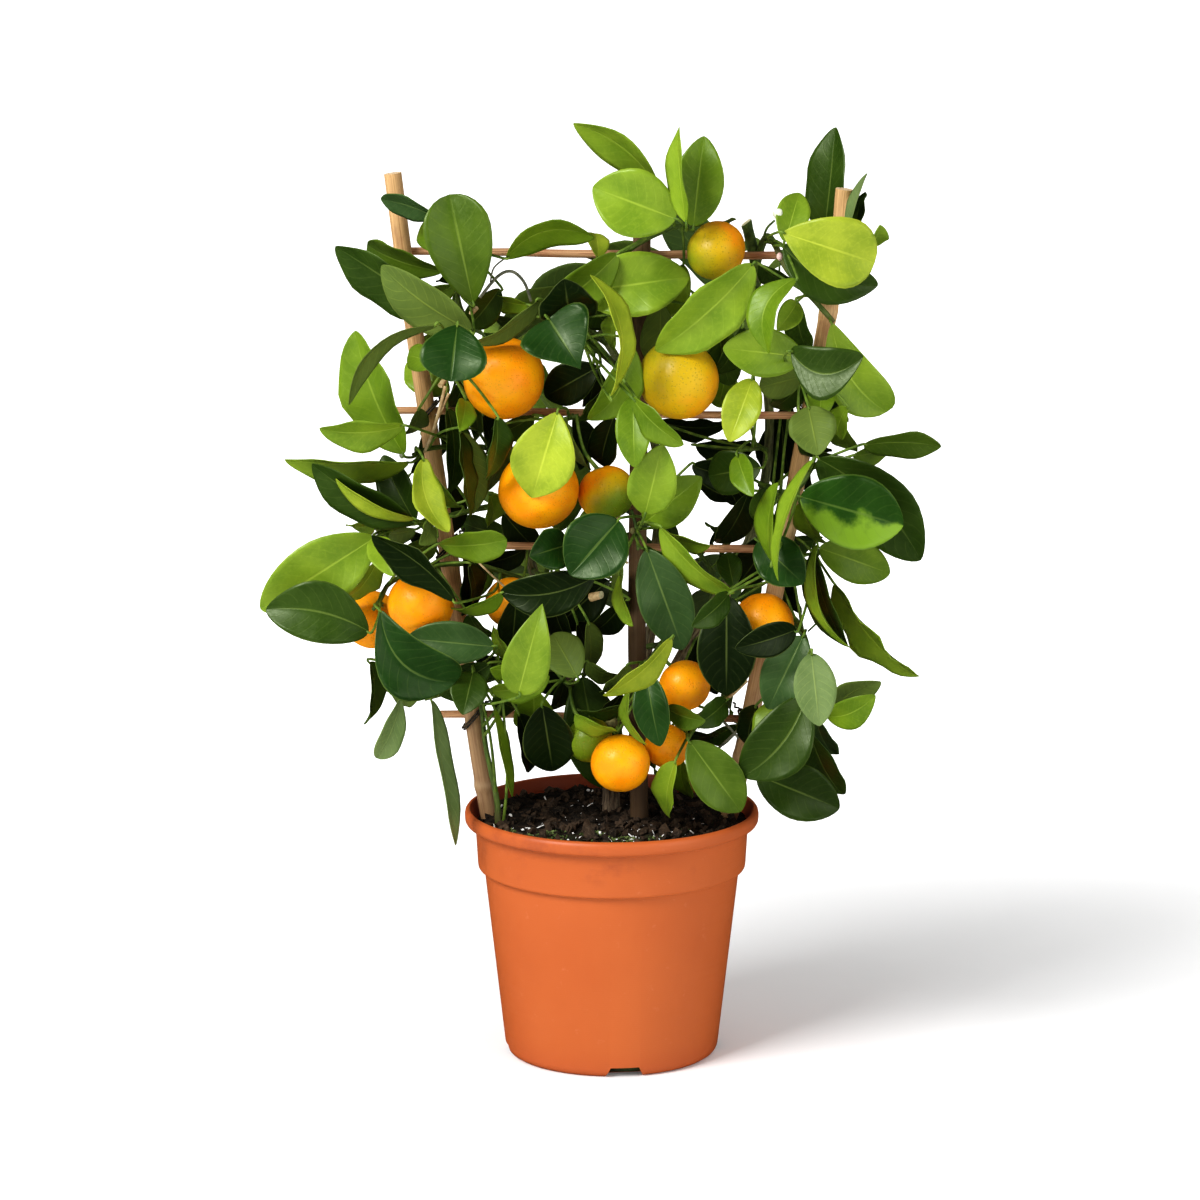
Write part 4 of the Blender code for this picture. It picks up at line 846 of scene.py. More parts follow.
        (95, 210, 88, 173, 15, 4, 0, "L"), (112, 210, 75, 163, 36, 4, 6, "D"),
        (84, 164, 132, 144, 33, 3, 0, "D"), (115, 188, 134, 152, 18, 2, 0, "D"),
        (118, 197, 129, 176, 14, 1, 0, "B"), (84, 205, 80, 178, 12, 3, 0, "K"),
        (98, 275, 107, 252, 9, 1, 0, "D"), (105, 277, 109, 259, 9, 0, 0, "K"))),
    "shoot_lower_right": ("branch_right", (1.9, 1.3), (
        (74, 290, -27), (86, 287, -14), (97, 286, -8), (107, 287, 4), (115, 291, 13), (120, 297, 17)), (
        (119, 298, 160, 283, 25, 3, 0, "m"), (118, 300, 137, 239, 6, 5, -5, "L"),
        (128, 277, 176, 221, 14, 3, 1, "L"), (116, 296, 136, 240, 15, 4, 0, "D"),
        (84, 302, 110, 277, 28, 4, 0, "G"), (66, 270, 66, 211, 34, 6, 0, "K"),
        (67, 271, 46, 252, 14, 7, 0, "D"), (106, 250, 71, 239, 19, 7, 0, "K"),
        (94, 308, 72, 276, 22, -2, 0, "K"), (70, 275, 66, 295, 14, 3, 0, "D"),
        (72, 268, 86, 281, 10, 1, 0, "D"), (117, 293, 124, 270, 8, 3, 0, "D"),
        (104, 304, 119, 303, 10, 1, 0, "D"))),
    "shoot_middle_right": ("branch_right", (1.9, 1.3), (
        (85, 335, -27), (91, 333, -12), (92, 330, 6), (98, 328, 19), (108, 334, 22), (116, 348, 21)), (
        (144, 358, 188, 357, 15, 2, 5, "M"), (138, 352, 161, 359, 11, 3, 0, "m"),
        (118, 350, 177, 290, 38, 2, 10, "D"), (108, 328, 167, 311, 43, 5, 0, "V"),
        (109, 341, 97, 305, 5, 7, 0, "L"), (115, 349, 94, 279, 7, 7, 0, "L"),
        (92, 290, 95, 336, 10, 5, 0, "m"), (90, 308, 88, 333, 14, 4, 0, "D"),
        (108, 324, 124, 300, 9, 2, 0, "m"), (96, 371, 94, 334, 16, 1, 0, "K"),
        (78, 330, 61, 300, 17, 1, 0, "K"), (102, 382, 102, 338, 17, -2, 0, "K"),
        (64, 344, 82, 322, 14, -3, 0, "K"), (111, 348, 115, 328, 10, -1, 0, "K"),
        (119, 354, 140, 350, 8, 1, 0, "D"), (73, 309, 54, 313, 5, 1, 0, "D"))),
    "shoot_inner_right": ("branch_right", (1.8, 1.2), (
        (88, 355, -27), (86, 356, -12), (82, 356, 0), (79, 355, 9)), (
        (80, 396, 67, 360, 22, 4, 0, "Y"), (85, 345, 55, 340, 26, 2, 0, "D"),
        (72, 352, 81, 328, 14, 4, 0, "m"), (66, 404, 61, 380, 18, 1, 0, "m"),
        (26, 372, 66, 370, 13, 0, 0, "K"), (48, 358, 82, 356, 16, -1, 0, "K"),
        (52, 346, 70, 324, 12, -2, 0, "K"))),
    "shoot_upper_right": ("branch_right", (1.9, 1.3), (
        (86, 405, -27), (92, 408, -12), (98, 411, 2), (105, 408, 15), (111, 400, 22)), (
        (108, 409, 63, 414, 28, 4, 0, "L"), (102, 412, 143, 409, 30, 6, -11, "D"),
        (110, 398, 84, 391, 18, 3, 0, "O"), (120, 392, 118, 372, 16, 4, 0, "m"),
        (134, 380, 129, 363, 13, 3, 0, "m"), (112, 380, 118, 352, 27, 5, 0, "O"),
        (130, 372, 138, 355, 12, 2, 0, "m"), (108, 394, 92, 380, 13, 1, 0, "D"),
        (124, 392, 134, 372, 10, 2, 0, "m"), (108, 362, 124, 354, 10, 2, 0, "D"),
        (117, 405, 121, 374, 20, 1, 0, "K"))),
    "shoot_top_right": ("branch_right", (2.2, 1.5), (
        (82, 461, -27), (85, 473, -18), (88, 478, -8), (92, 474, 2), (97, 463, 9), (104, 453, 15),
        (110, 447, 22), (118, 438, 26), (126, 429, 26)), (
        (98, 475, 106, 503, 19, 2, 0, "L"), (97, 480, 149, 463, 40, 5, 0, "Yw"),
        (97, 472, 151, 450, 30, 3, -7, "D"), (104, 454, 89, 411, 18, 4, -8, "m"),
        (105, 440, 94, 424, 14, 5, 0, "L"), (105, 441, 112, 412, 14, 3, 0, "D"),
        (125, 428, 157, 377, 31, 3, -7, "Lw"), (120, 478, 126, 540, 23, -3, -4, "D"),
        (139, 478, 143, 503, 10, -1, 0, "D"), (134, 483, 144, 514, 5, 2, -2, "P"),
        (84, 462, 99, 453, 11, 1, 0, "D"), (144, 472, 152, 484, 8, 4, 0, "L"))),
    "shoot_behind_fruit": ("branch_right", (1.9, 1.3), (
        (83, 449, -27), (81, 451, -13), (76, 446, 0), (68, 434, 6), (60, 424, 8), (54, 412, 8)), (
        (80, 462, 25, 412, 32, 4, 0, "L"), (74, 426, 58, 398, 13, 1, 0, "D"),
        (28, 440, 30, 398, 22, -1, 0, "O"), (60, 432, 67, 392, 22, -1, 0, "D"))),
}
REAR_SHOOTS = {
    "shoot_rear_upper_left": ("branch_left", (1.9, 1.2), (
        (-77, 402, -40), (-70, 409, -56), (-58, 418, -74), (-46, 426, -88)), 8, 0),
    "shoot_rear_upper_right": ("branch_right", (1.9, 1.2), (
        (85, 425, -27), (77, 434, -44), (62, 441, -64), (46, 445, -84)), 8, 60),
    "shoot_rear_lower_left": ("branch_left", (1.9, 1.2), (
        (-40, 268, -31), (-38, 278, -48), (-36, 290, -68), (-30, 300, -88)), 8, 120),
    "shoot_rear_lower_right": ("branch_right", (1.9, 1.2), (
        (58, 267, -27), (60, 276, -46), (54, 290, -68), (44, 300, -88)), 8, 30),
}
# Tones: Y and L are lime young leaves, their brightness partly painted light that glows through them,
# m and M middle green, D and G dark old ones, K near-black as painted shade for leaves deep in the
# foliage, B grey-green with a painted bluish sheen, O and P show their paler side, and V has lime
# islands. Forms: where a leaf is widest along its length, then how blunt its base and its tip are.
TONES = {
    "Y": (0.285, 0.345, 0.026), "L": (0.176, 0.262, 0.019), "m": (0.125, 0.200, 0.011),
    "M": (0.072, 0.122, 0.009), "D": (0.030, 0.060, 0.006), "G": (0.015, 0.050, 0.007),
    "K": (0.008, 0.018, 0.003), "B": (0.042, 0.085, 0.024), "O": (0.085, 0.125, 0.014),
    "P": (0.140, 0.200, 0.075), "V": (0.022, 0.078, 0.005),
}
PALE_SIDED = "OP"
RIMMED = "GVK"
FORMS = {"": (0.51, 0.60, 0.66), "w": (0.68, 0.80, 0.42), "b": (0.30, 0.45, 0.95),
         "p": (0.58, 0.80, 0.80), "s": (0.42, 0.80, 1.0), "t": (0.24, 0.36, 1.20)}
# Layers of leaves stand one in front of another. A leaf that shows short leans forward or back, and
# one that shows narrow is turned about its midrib. Both stop where a real leaf would.
NEAREST, LAYER_GAP, DEPTH_STEP, DEPTH_STEPS, FRONT_LAYER = 12.0, 7.0, 2.0, 45, 4
LEAF_REACH, MOST_LEAN, LEAST_SHOWN, OUTWARD = 50.0, 24.0, 0.36, 0.35
REAR_LENGTHS, REAR_TRIES, REAR_TURN = (58, 50, 64, 46, 54), 24, 137.5
LEAF_WIDTH, LEAF_THICKNESS, LEAF_ARCH = 0.5, 0.5, 0.08
FOLDS, WAVES, WAVE_ROUNDS, CURLS = (0.20, 0.34), (0.03, 0.13), (1.4, 2.6), (-0.03, 0.01)
SHADES_OF_TONE, RIMS, WIDEST_SHIFT = (0.88, 1.12), (0.15, 0.6), (-0.03, 0.03)
STALK_RADII = (1.05, 0.8, 0.8, 0.55)
TIP_REACH, STALK_REACH = 0.05, 0.02
STALK_POINTS, FIRST_STALK, LOWEST_STALK, STALK_SPREAD = 13, 0.54, 0.08, 0.9


def nodes_tree(name):
    """The CAD node's corners, in millimetres, for finding what lies where."""
    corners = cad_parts[name].data.vertices
    tree = KDTree(len(corners))
    for index, corner in enumerate(corners):
        tree.insert(corner.co / MM, index)
    tree.balance()
    return tree


def leaf_frame(row, forward):
    """Base, tip, way that the near side looks, bow and full width of the leaf of this row."""
    x0, z0, x1, z1, width, layer, bow = row[:7]
    seen_length = math.hypot(x1 - x0, z1 - z0)
    lean = min(MOST_LEAN, 0.5 * math.sqrt(max(0.0, LEAF_REACH ** 2 - seen_length ** 2)))
    lean = lean if layer >= FRONT_LAYER else -lean
    base = seen(x0, z0, forward)
    tip = seen(x1, z1, forward + lean)
    along = (tip - base).normalized()
    side = along.cross(STAND - base).normalized()
    facing = side.cross(along)
    full_width = min(max(width, LEAF_WIDTH * (tip - base).length), width / LEAST_SHOWN)
    outward = Vector((math.copysign(OUTWARD, x0), 0, 1))
    turn = math.copysign(math.acos(width / full_width), side.dot(outward))
    return base, tip, Quaternion(along, -turn) @ facing, side * -bow, full_width


def places_ahead(layer):
    """How far forward a leaf of this layer may stand, the wanted place first."""
    wanted = NEAREST + LAYER_GAP * layer
    for step in range(DEPTH_STEPS):
        further = DEPTH_STEP * step
        yield from sorted({wanted + further, wanted + (further if layer >= FRONT_LAYER else -further)})


def built_leaf(tree, leaves):
    """The first of the leaves whose tip meets a corner of the CAD leaf, or else the closest one."""
    closest, least = None, math.inf
    for leaf in leaves:
        gap = tree.find(leaf[1])[2]
        if gap < TIP_REACH:
            return leaf
        if gap < least:
            closest, least = leaf, gap
    return closest


def rear_leaf(route, index, count, first_angle, attempt):
    """The same five values for one leaf of a rear shoot, at this attempt to find it a free place."""
    length = REAR_LENGTHS[index % len(REAR_LENGTHS)]
    at = along_route(route, 0.25 + 0.75 * (index + 0.5) / count)
    heading = (route[-1] - route[1]).normalized()
    upright = (Vector((0, 0, 1)) - heading * heading.z).normalized()
    spread = Quaternion(heading, math.radians(first_angle + REAR_TURN * index + 15 * attempt)) @ upright
    along = (spread + heading * 0.45 + Vector((0, 0, -0.25))).normalized()
    base = at + (spread + heading * 0.3) * 9
    facing = (Vector((0, 0, 0.8)) + heading * 0.8 + spread * 0.2)
    facing = (facing - along * facing.dot(along)).normalized()
    return base, base + along * length, facing, Vector(), length * LEAF_WIDTH


def along_route(route, share):
    """The point at this share of the route's length."""
    lengths = [(b - a).length for a, b in zip(route, route[1:])]
    left = share * sum(lengths)
    for (a, b), length in zip(zip(route, route[1:]), lengths):
        if left <= length:
            return a.lerp(b, left / length)
        left -= length
    return route[-1]


def stalk_start(tree, stem, base, tip, facing, number):
    """The point of the stem from which the CAD leaf's stalk starts."""
    first = FIRST_STALK * number % 1
    along = (tip - base).normalized()
    across = along.cross(facing).normalized()
    facing = across.cross(along)
    shares = ((step + first) / STALK_POINTS for step in range(STALK_POINTS))
    points = [along_route(stem, LOWEST_STALK + STALK_SPREAD * share) for share in shares]
    for point in points:
        halfway = along.rotation_difference((along + (base - point).normalized()).normalized())
        ring = (base + halfway @ offset for offset in (-across, facing, across, -facing))
        if sum(tree.find(corner)[2] < STALK_REACH for corner in ring) >= 3:
            return point
    return min(points, key=lambda point: (point - base).length)


leaf_grid = bmesh.new()
bmesh.ops.create_grid(leaf_grid, x_segments=10, y_segments=16, size=1)
raised = bmesh.ops.extrude_face_region(leaf_grid, geom=list(leaf_grid.faces), use_keep_orig=True)["geom"]
raised = [part for part in raised if isinstance(part, bmesh.types.BMVert)]
bmesh.ops.translate(leaf_grid, vec=(0, 0, 1), verts=raised)
bmesh.ops.recalc_face_normals(leaf_grid, faces=leaf_grid.faces)


def leaf_shape(base, tip, facing, bow, width, tone, form, dice):
    """A thin closed leaf blade with a folded, arched and slightly waved surface."""
    work = leaf_grid.copy()
    spot = work.verts.layers.float_vector.new("spot")
    ink = work.verts.layers.float_color.new("tone")
    kind = work.verts.layers.float_vector.new("kind")
    length = (tip - base).length
    along = (tip - base).normalized()
    across = along.cross(facing).normalized()
    facing = across.cross(along)
    widest, blunt_base, blunt_tip = FORMS[form]
    widest += dice.uniform(*WIDEST_SHIFT)
    fold = dice.uniform(*FOLDS)
    wave, phase, rounds = dice.uniform(*WAVES), dice.random(), dice.uniform(*WAVE_ROUNDS)
    curl = dice.uniform(*CURLS)
    shade = dice.uniform(*SHADES_OF_TONE)
    colour = [part * shade for part in TONES[tone]]
    rim = 1.0 if tone in RIMMED else dice.uniform(*RIMS)
    marks = Vector((rim, dice.random(), 1.0 if tone == "V" else 0.0))
    for corner in work.verts:
        u, level, upper = corner.co.x, (corner.co.y + 1) / 2, corner.co.z
        v = (1 - math.cos(math.pi * level)) / 2
        if v < widest:
            wide = max(math.sin(math.pi / 2 * v / widest), 0.0) ** blunt_base
        else:
            wide = max(math.cos(math.pi / 2 * (v - widest) / (1 - widest)), 0.0) ** blunt_tip
        half = width / 2 * wide + 0.5 * (1 - v) + 0.12
        swell = 4 * v * (1 - v)
        bent = (math.sqrt(u * u + 0.03) - 0.173) / 0.842
        lift = half * (math.sin(fold) * bent + wave * u * u * math.sin(math.tau * (rounds * v + phase) + u))
        lift += length * (LEAF_ARCH * swell + curl * max(0.0, (v - 0.7) / 0.3) ** 2)
        thick = (upper - 0.5) * LEAF_THICKNESS * (1.0 - 0.5 * u ** 8)
        corner.co = (base + along * (length * v) + bow * swell
                     + across * (u * half * math.cos(fold * bent)) + facing * (lift + thick))
        corner[spot] = (u, v, upper)
        corner[ink] = (*colour, 1.0)
        corner[kind] = marks
    for face in work.faces:
        near = sum(corner[spot].z for corner in face.verts) > 0.4 * len(face.verts)
        face.material_index = int(near == (tone in PALE_SIDED))
    return work


def leaf_look(name, under):
    """The look of one side of the leaves: glossy above, matte and paler below."""
    side = Look(name, IOR=1.45, Specular_IOR_Level=0.20 if under else 0.40,
                Specular_Tint=(0.90, 1.0, 0.70, 1.0))
    across, along, _ = side.split(side.mark("spot").out("Vector"))
    rim, _, mottle = side.split(side.mark("kind").out("Vector"))
    tone = side.mark("tone").out("Color")
    where = side.place()
    off = across.size()
    cloud = side.noise(where, 55.0, 3.0)
    fine = side.noise(where, 520.0, 4.0, 0.6)
    rib = off.ramp(0.012, 0.050, 1.0, 0.0)
    lines = ((along * 9.0 - off * (off * 0.9 + 1.3) + cloud * 0.7).part() - 0.5).size()
    veins = lines.ramp(0.0, 0.10, 1.0, 0.0) * off.ramp(0.10, 0.25) * off.ramp(0.80, 0.97, 1.0, 0.0)
    edge = off.ramp(0.930, 0.985) * rim
    # A lighter and a darker copy of the leaf's tone. The darker is painted shade and the lighter is painted
    # sheen on the blade, and the lighter is also the ground of the pale veins, midrib and edge.
    light = side.mix(1.0, tone, (1.55, 1.42, 1.30), "MULTIPLY")
    pale = side.mix(0.25, light, (0.34, 0.42, 0.10))
    dark = side.mix(1.0, tone, (0.66, 0.74, 0.62), "MULTIPLY")
    # Darker where the cloud dips. This is partly the leaf's own mottle and partly painted shade in the
    # hollows of the blade.
    colour = side.mix(cloud.ramp(0.30, 0.70), dark, tone)
    # Painted sheen: lighter where the fine bumps rise.
    colour = side.mix(fine.ramp(0.45, 0.75, 0.0, 0.22), colour, light)
    islands = (cloud * 0.7 + across * 0.35 + along * 0.25 + fine * 0.12).ramp(0.54, 0.74)
    colour = side.mix(islands * mottle, colour, (0.18, 0.31, 0.020))
    if under:
        colour = side.mix(0.22, colour, (0.17, 0.23, 0.075))
    colour = side.mix(veins * (0.28 if under else 0.12), colour, pale)
    colour = side.mix(rib * (along.ramp(0.50, 1.0, 0.60, 0.10)), colour, pale)
    colour = side.mix(edge * 0.7, colour, pale)
    height = veins * (0.15 if under else -0.08) + rib * (0.6 if under else -0.35) + fine * 0.015 + cloud * 0.9
    return side.feed(
        Base_Color=colour,
        Roughness=fine.ramp(0.3, 0.7, *((0.48, 0.62) if under else (0.31, 0.43))),
        Normal=side.bump(height, 0.55, 0.0007),
    )


upper_look = leaf_look("leaf_upper", False)
under_look = leaf_look("leaf_under", True)
twig = Look("green_twig", Roughness=0.55)
run = twig.mark("run").out("Vector")
streak = twig.noise(twig.scaled(run, (1.2, 1.2, 0.15)), 1.0, 4.0, 0.6)
patch = twig.noise(twig.place(), 45.0)
colour = twig.mix(streak.ramp(0.3, 0.7), (0.045, 0.080, 0.014), (0.12, 0.18, 0.035))
colour = twig.mix(patch.ramp(0.50, 0.72, 0.0, 0.6), colour, (0.16, 0.125, 0.060))
twig_look = twig.feed(Base_Color=colour, Normal=twig.bump(streak, 0.5, 0.0005))
stalk = Look("leaf_stalk", Roughness=0.5)
streak = stalk.noise(stalk.place(), 190.0)
colour = stalk.mix(streak.ramp(0.3, 0.7), (0.065, 0.12, 0.016), (0.16, 0.24, 0.035))
stalk_look = stalk.feed(Base_Color=colour)


def stem_foot(name, points, radius):
    """Where on its first stretch the CAD stem starts, clear of the branch that bears it."""
    way = (points[1] - points[0]).normalized()
    rises = []
    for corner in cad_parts[name].data.vertices:
        shift = corner.co / MM - points[0]
        rise = shift.dot(way)
        if -3.0 < rise < 14.0 and (shift - way * rise).length < radius * 1.05:
            rises.append(rise)
    return points[0] + way * min(rises)


for order, name in enumerate([*SHOOTS, *REAR_SHOOTS]):
    carrier, radii, route, *_ = SHOOTS.get(name) or REAR_SHOOTS[name]
    points = [seen(*point) for point in route]
    tree = nodes_tree(name)
    foot = points[0] if carrier == "soil" else stem_foot(name, points, radii[0])
    stem = [foot, *points[1:]]
    dice = random.Random(order + 101)
    whole = bmesh.new()
    found = []
    if name in SHOOTS:
        for row in sorted(SHOOTS[name][3], key=lambda row: max(row[5], 0)):
            leaves = (leaf_frame(row, forward) for forward in places_ahead(row[5]))
            found.append((built_leaf(tree, leaves), row[7]))
    else:
        count, first_angle = REAR_SHOOTS[name][3:]
        for index in range(count):
            leaves = (rear_leaf(stem, index, count, first_angle, attempt) for attempt in range(REAR_TRIES))
            found.append((built_leaf(tree, leaves), dice.choice("MDGDmMLK")))
    dense, sizes = smooth_route(points, tapered(radii, points), 6)
    sizes = [size * (1 + 0.12 * noise.noise(point / 4.0)) for size, point in zip(sizes, dense)]
    join_shape(whole, rod_shape(dense, sizes, 10, 1), 2)
    for number, ((base, tip, facing, bow, width), tone) in enumerate(found):
        join_shape(whole, leaf_shape(base, tip, facing, bow, width, tone[0], tone[1:], dice))
        start = stalk_start(tree, stem, base, tip, facing, number)
        way = (tip - base).normalized()
        reach = (base - start).length
        bend = [start, start.lerp(base, 0.4) - way * reach * 0.10, base - way * min(2.0, reach * 0.2),
                base + way * 1.5]
        join_shape(whole, rod_shape(bend, STALK_RADII, 8, 4), 3)
    materials = [upper_look, under_look, twig_look, stalk_look]
    finish_piece(name + "_leaves", whole, materials, [name])
leaf_grid.free()


# ---------------------------------------------------------------------------------------------
# Fruits: round loose-skinned citrus with fine pores, orange when ripe and green where they are not,
# each on a thin green stalk with a small five-lobed calyx.
# Rows: x, z, diameter, forward, point the stalk comes from, greenness, its change across the fruit,
# way (x, z) to the green side.
# ---------------------------------------------------------------------------------------------
FRUITS = (
    (59, 470, 34, 18, (45, 483, 13), 0.39, 0.40, (-0.7, -0.3)),
    (-61.5, 396.5, 47, 24, (-89, 412, -10), 0.00, 0.00, (0.4, -0.6)),
    (38, 396, 46, 33, (55, 413, 8), 0.41, 0.29, (-0.6, 0.5)),
    (-42, 332, 46, 30, (-48, 363, -1), 0.04, 0.08, (-0.8, 0.2)),
    (-3, 330, 33, 20, (-20, 375, 14), 0.30, 0.75, (0.3, -0.3)),
    (-110, 265, 38, 24, (-106, 287, 8), 0.00, 0.00, (0.5, -0.5)),
    (-138, 256, 34, -8, (-126, 278, 15), 0.00, 0.00, (0.0, -1.0)),
    (-58, 266, 30, 2, (-62, 283, -12), 0.00, 0.00, (0.0, -1.0)),
    (87, 253, 36, 32, (105, 255, 7), 0.02, 0.06, (0.0, -1.0)),
    (42, 217, 30, 25, (28, 241, 4), 0.00, 0.00, (0.5, -0.5)),
    (5, 171, 34, 45, (5, 200, 15), 0.05, 0.09, (0.4, 0.7)),
    (32, 181, 26, 28, (38, 207, -3), 0.02, 0.06, (0.3, 0.7)),
    (-13, 185, 27, 22, (-24, 216, 0), 0.75, 0.36, (-0.5, 0.2)),
)
FRUIT_HEIGHT, GREEN_FORWARD, PEEL_LUMPS = 0.94, -0.35, ((2.1, 0.010), (7.0, 0.004))
CALYX_LOBES, CALYX_RADIUS, CALYX_TOP, CALYX_DEPTH = 5, 4.2, 1.1, 1.6
FRUIT_STALK_RADII = (1.35, 1.05, 1.0, 1.15)
peel = Look("peel", IOR=1.46, Specular_IOR_Level=0.32)
where = peel.place()
green = peel.mark("green").out("Fac")
pores = peel.cells(where, 620.0)
soft = peel.noise(where, 70.0, 3.0)
fine = peel.noise(where, 900.0, 2.0)
share = green + (soft - 0.5) * 0.35
ripe = peel.mix(soft.ramp(0.3, 0.7), (0.880, 0.280, 0.002), (0.910, 0.370, 0.003))
colour = peel.mix(share.ramp(0.10, 0.50), ripe, (0.600, 0.370, 0.006))
colour = peel.mix(share.ramp(0.42, 0.95), colour, (0.150, 0.220, 0.010))
dots = pores.ramp(0.10, 0.34, 1.0, 0.0)
colour = peel.mix(dots * share.ramp(0.1, 0.6, 0.22, 0.55), colour, (0.24, 0.22, 0.012))
colour = peel.mix(peel.mark("stem_end").out("Fac"), colour, (0.16, 0.20, 0.03))
peel_look = peel.feed(
    Base_Color=colour,
    Roughness=fine.ramp(0.3, 0.7, 0.30, 0.42),
    Normal=peel.bump(dots * -1.0 + fine * 0.2 + soft, 0.40, 0.0006),
)
cap = Look("calyx", Roughness=0.6)
flecks = cap.noise(cap.place(), 420.0)
cap_look = cap.feed(Base_Color=cap.mix(flecks.ramp(0.3, 0.7), (0.13, 0.17, 0.04), (0.36, 0.40, 0.16)))
for number, (x, z, diameter, forward, aim, greenness, change, green_way) in enumerate(FRUITS, 1):
    centre = seen(x, z, forward)
    radius = diameter / 2
    heading = (seen(*aim) - centre).normalized()
    turn = heading.to_track_quat("Z", "X")
    green_side = Vector((green_way[0], GREEN_FORWARD, green_way[1])).normalized()
    whole = bmesh.new()
    small = bmesh.new()
    bmesh.ops.create_uvsphere(small, u_segments=48, v_segments=32, radius=1.0)
    green_layer = small.verts.layers.float.new("green")
    end_layer = small.verts.layers.float.new("stem_end")
    for corner in small.verts:
        out = corner.co.copy()
        near_end = max(0.0, (out.z - 0.90) / 0.10)
        far_end = max(0.0, (-out.z - 0.965) / 0.035)
        bumpy = 1 + sum(height * noise.noise(out * rate + centre) for rate, height in PEEL_LUMPS)
        out.z *= FRUIT_HEIGHT
        reach = radius * bumpy * (1 - 0.05 * near_end ** 1.5 - 0.03 * far_end)
        placed = turn @ out
        corner[green_layer] = greenness * 1.05 + change * placed.dot(green_side)
        corner[end_layer] = 0.6 * near_end ** 3
        corner.co = centre + placed * reach
    join_shape(whole, small, 0)
    crown = centre + heading * (radius * FRUIT_HEIGHT * 0.952)
    star = bmesh.new()
    bmesh.ops.create_cone(star, cap_ends=True, segments=4 * CALYX_LOBES, radius1=CALYX_RADIUS,
                          radius2=CALYX_TOP, depth=CALYX_DEPTH)
    for corner in star.verts:
        if corner.co.z < 0:
            lobe = math.cos(CALYX_LOBES * math.atan2(corner.co.y, corner.co.x))
            corner.co *= 0.74 + 0.26 * lobe
            corner.co.z = -0.6 - 0.1 * lobe
        corner.co = crown + turn @ corner.co
    join_shape(whole, star, 1)
    end = seen(*aim)
    reach = (end - crown).length
    side = heading.cross(Vector((0, 1, 0))).normalized() * reach * 0.10
    bend = [crown, crown.lerp(end, 0.35) + side, crown.lerp(end, 0.72) + side * 0.7, end]
    join_shape(whole, rod_shape(bend, FRUIT_STALK_RADII, 10, 5), 2)
    finish_piece(f"fruit_{number:02d}_peel", whole, [peel_look, cap_look, stalk_look],
                 [f"fruit_{number:02d}"])


# ---------------------------------------------------------------------------------------------
# Small growth: pruned stubs with pale cut faces, dry twigs, flower buds and old scars, each a part
# of the plant that is too fine for a solid of its own.
# Rows: colour, radius, then the points x, z, forward.
# ---------------------------------------------------------------------------------------------
SMALL_TWIGS = (
    ("green", 3.3, ((82, 460, -25), (79, 474, -22), (76, 486, -20))),
    ("dry", 0.9, ((5, 316, 24), (-6, 310, 27), (6, 297, 26))),
    ("dry", 0.8, ((6, 292, 26), (9, 289, 25))),
    ("dry", 2.6, ((-12, 269, 34), (-6, 270.5, 38))),
    ("grey", 0.9, ((-75, 443, 20), (-65, 455, 22), (-57, 458, 22), (-50, 452, 20), (-46, 441, 16))),
    ("grey", 0.5, ((-69, 452, 18), (-67, 460, 20), (-60, 466, 18))),
    ("dry", 1.5, ((-80, 434, 12), (-77, 437, 16))),
    ("dry", 1.0, ((-95, 392, 20), (-98, 380, 22), (-102, 366, 22), (-107, 354, 16))),
    ("dry", 0.9, ((-93, 388, 20), (-100, 372, 22))),
    ("dry", 1.7, ((-95, 396, 14), (-98, 392, 18))),
    ("green", 0.9, ((101, 258, 24), (107, 250, 26), (110, 246, 20))),
    ("green", 0.6, ((118, 254, 22), (113, 249, 20))),
    ("dry", 0.9, ((78, 220, 6), (70, 212, 8), (66, 209, 6))),
    ("dry", 0.6, ((47, 291, -20), (55, 281, -20), (68, 270, -24))),
    ("dry", 0.6, ((-78, 291, 20), (-70, 283, 22), (-58, 272, 18))),
    ("green", 1.0, ((11, 320, 20), (14, 310, 22), (15, 297, 18))),
    ("green", 0.7, ((14, 310, 22), (20, 311, 23), (28, 312, 18))),
    ("grey", 0.8, ((60, 200, 6), (68, 192, 8), (80, 178, 4))),
    ("grey", 0.7, ((62, 180, 6), (72, 190, 8), (80, 199, 4))),
    ("green", 0.7, ((86, 478, 6), (88, 483, 12), (92, 487, 16))),
    ("green", 0.6, ((95, 458, 26), (95, 463, 30))),
    ("green", 0.6, ((103, 451, 28), (104, 456, 30))),
)
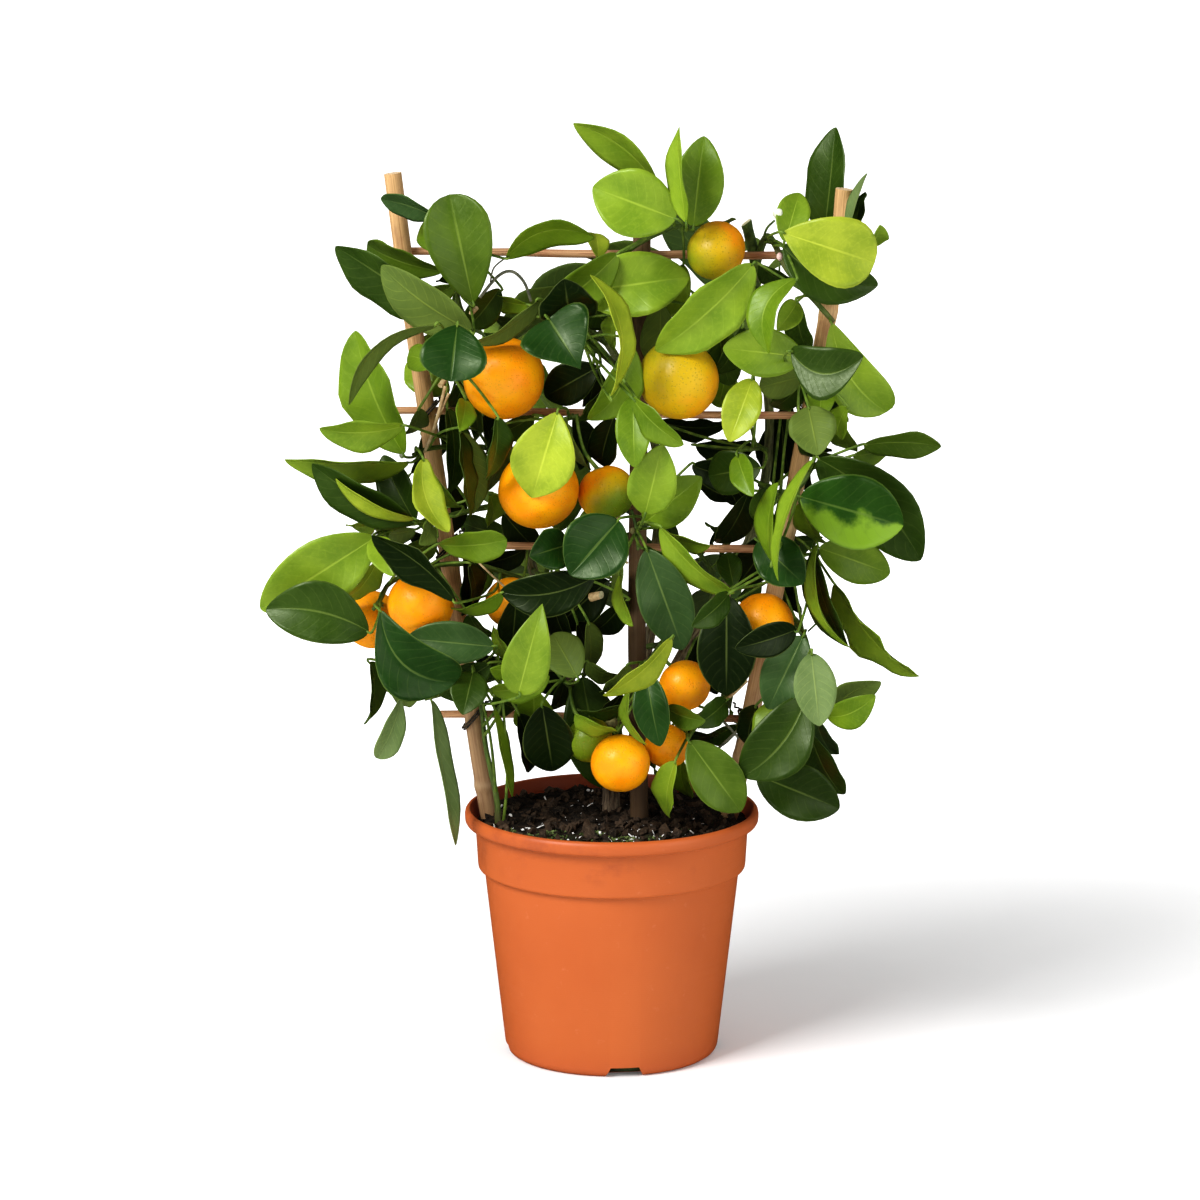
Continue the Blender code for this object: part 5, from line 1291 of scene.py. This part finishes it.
BUDS = (
    ("white", 3.1, (94, 491, 18), 1.0), ("pink", 1.7, (95, 466.5, 31), 1.3),
    ("pink", 1.7, (104, 459, 31), 1.5), ("olive", 3.6, (0, 195, 22), 1.0),
    ("white", 1.6, (-120, 352, 22), 1.2), ("olive", 1.6, (12, 308, 26), 1.2),
)
SHADES = {
    "green": ((0.050, 0.085, 0.022), (0.120, 0.190, 0.045)), "dry": ((0.33, 0.22, 0.10), (0.62, 0.47, 0.26)),
    "grey": ((0.10, 0.11, 0.075), (0.24, 0.24, 0.17)), "white": ((0.62, 0.66, 0.50), (0.85, 0.86, 0.76)),
    "pink": ((0.45, 0.25, 0.25), (0.72, 0.52, 0.46)), "olive": ((0.09, 0.085, 0.03), (0.21, 0.19, 0.075)),
    "cut": ((0.42, 0.38, 0.20), (0.72, 0.68, 0.46)),
}
STUB_RADIUS = 2
small_looks = {}
for name, (dark, light) in SHADES.items():
    skin = Look("growth_" + name, Roughness=0.6)
    flecks = skin.noise(skin.place(), 260.0, 4.0, 0.6)
    small_looks[name] = skin.feed(Base_Color=skin.mix(flecks.ramp(0.32, 0.68), dark, light),
                                  Normal=skin.bump(flecks, 0.5, 0.0004))
whole = bmesh.new()
names = list(SHADES)
for shade, radius, route in SMALL_TWIGS:
    points = [seen(*point) for point in route]
    small = rod_shape(points, [radius] * (len(points) - 1) + [radius * 0.9], 10, 5)
    stub = radius > STUB_RADIUS
    for face in small.faces:
        face.material_index = names.index("cut" if stub and len(face.verts) > 4 else shade)
    if stub:
        for corner in small.verts:
            if (corner.co - points[-1]).length < radius * 1.2:
                corner.co += Vector((0, 0, 1)) * (corner.co.x - points[-1].x) * 0.5
    join_shape(whole, small)
for shade, radius, place, stretch in BUDS:
    small = bmesh.new()
    bmesh.ops.create_icosphere(small, subdivisions=3, radius=radius)
    for corner in small.verts:
        corner.co.z *= stretch
        corner.co *= 1 + 0.06 * noise.noise(corner.co / radius * 1.7)
        corner.co += seen(*place)
    join_shape(whole, small, names.index(shade))
finish_piece("small_growth", whole, [small_looks[name] for name in names], angle=50)

low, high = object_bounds()
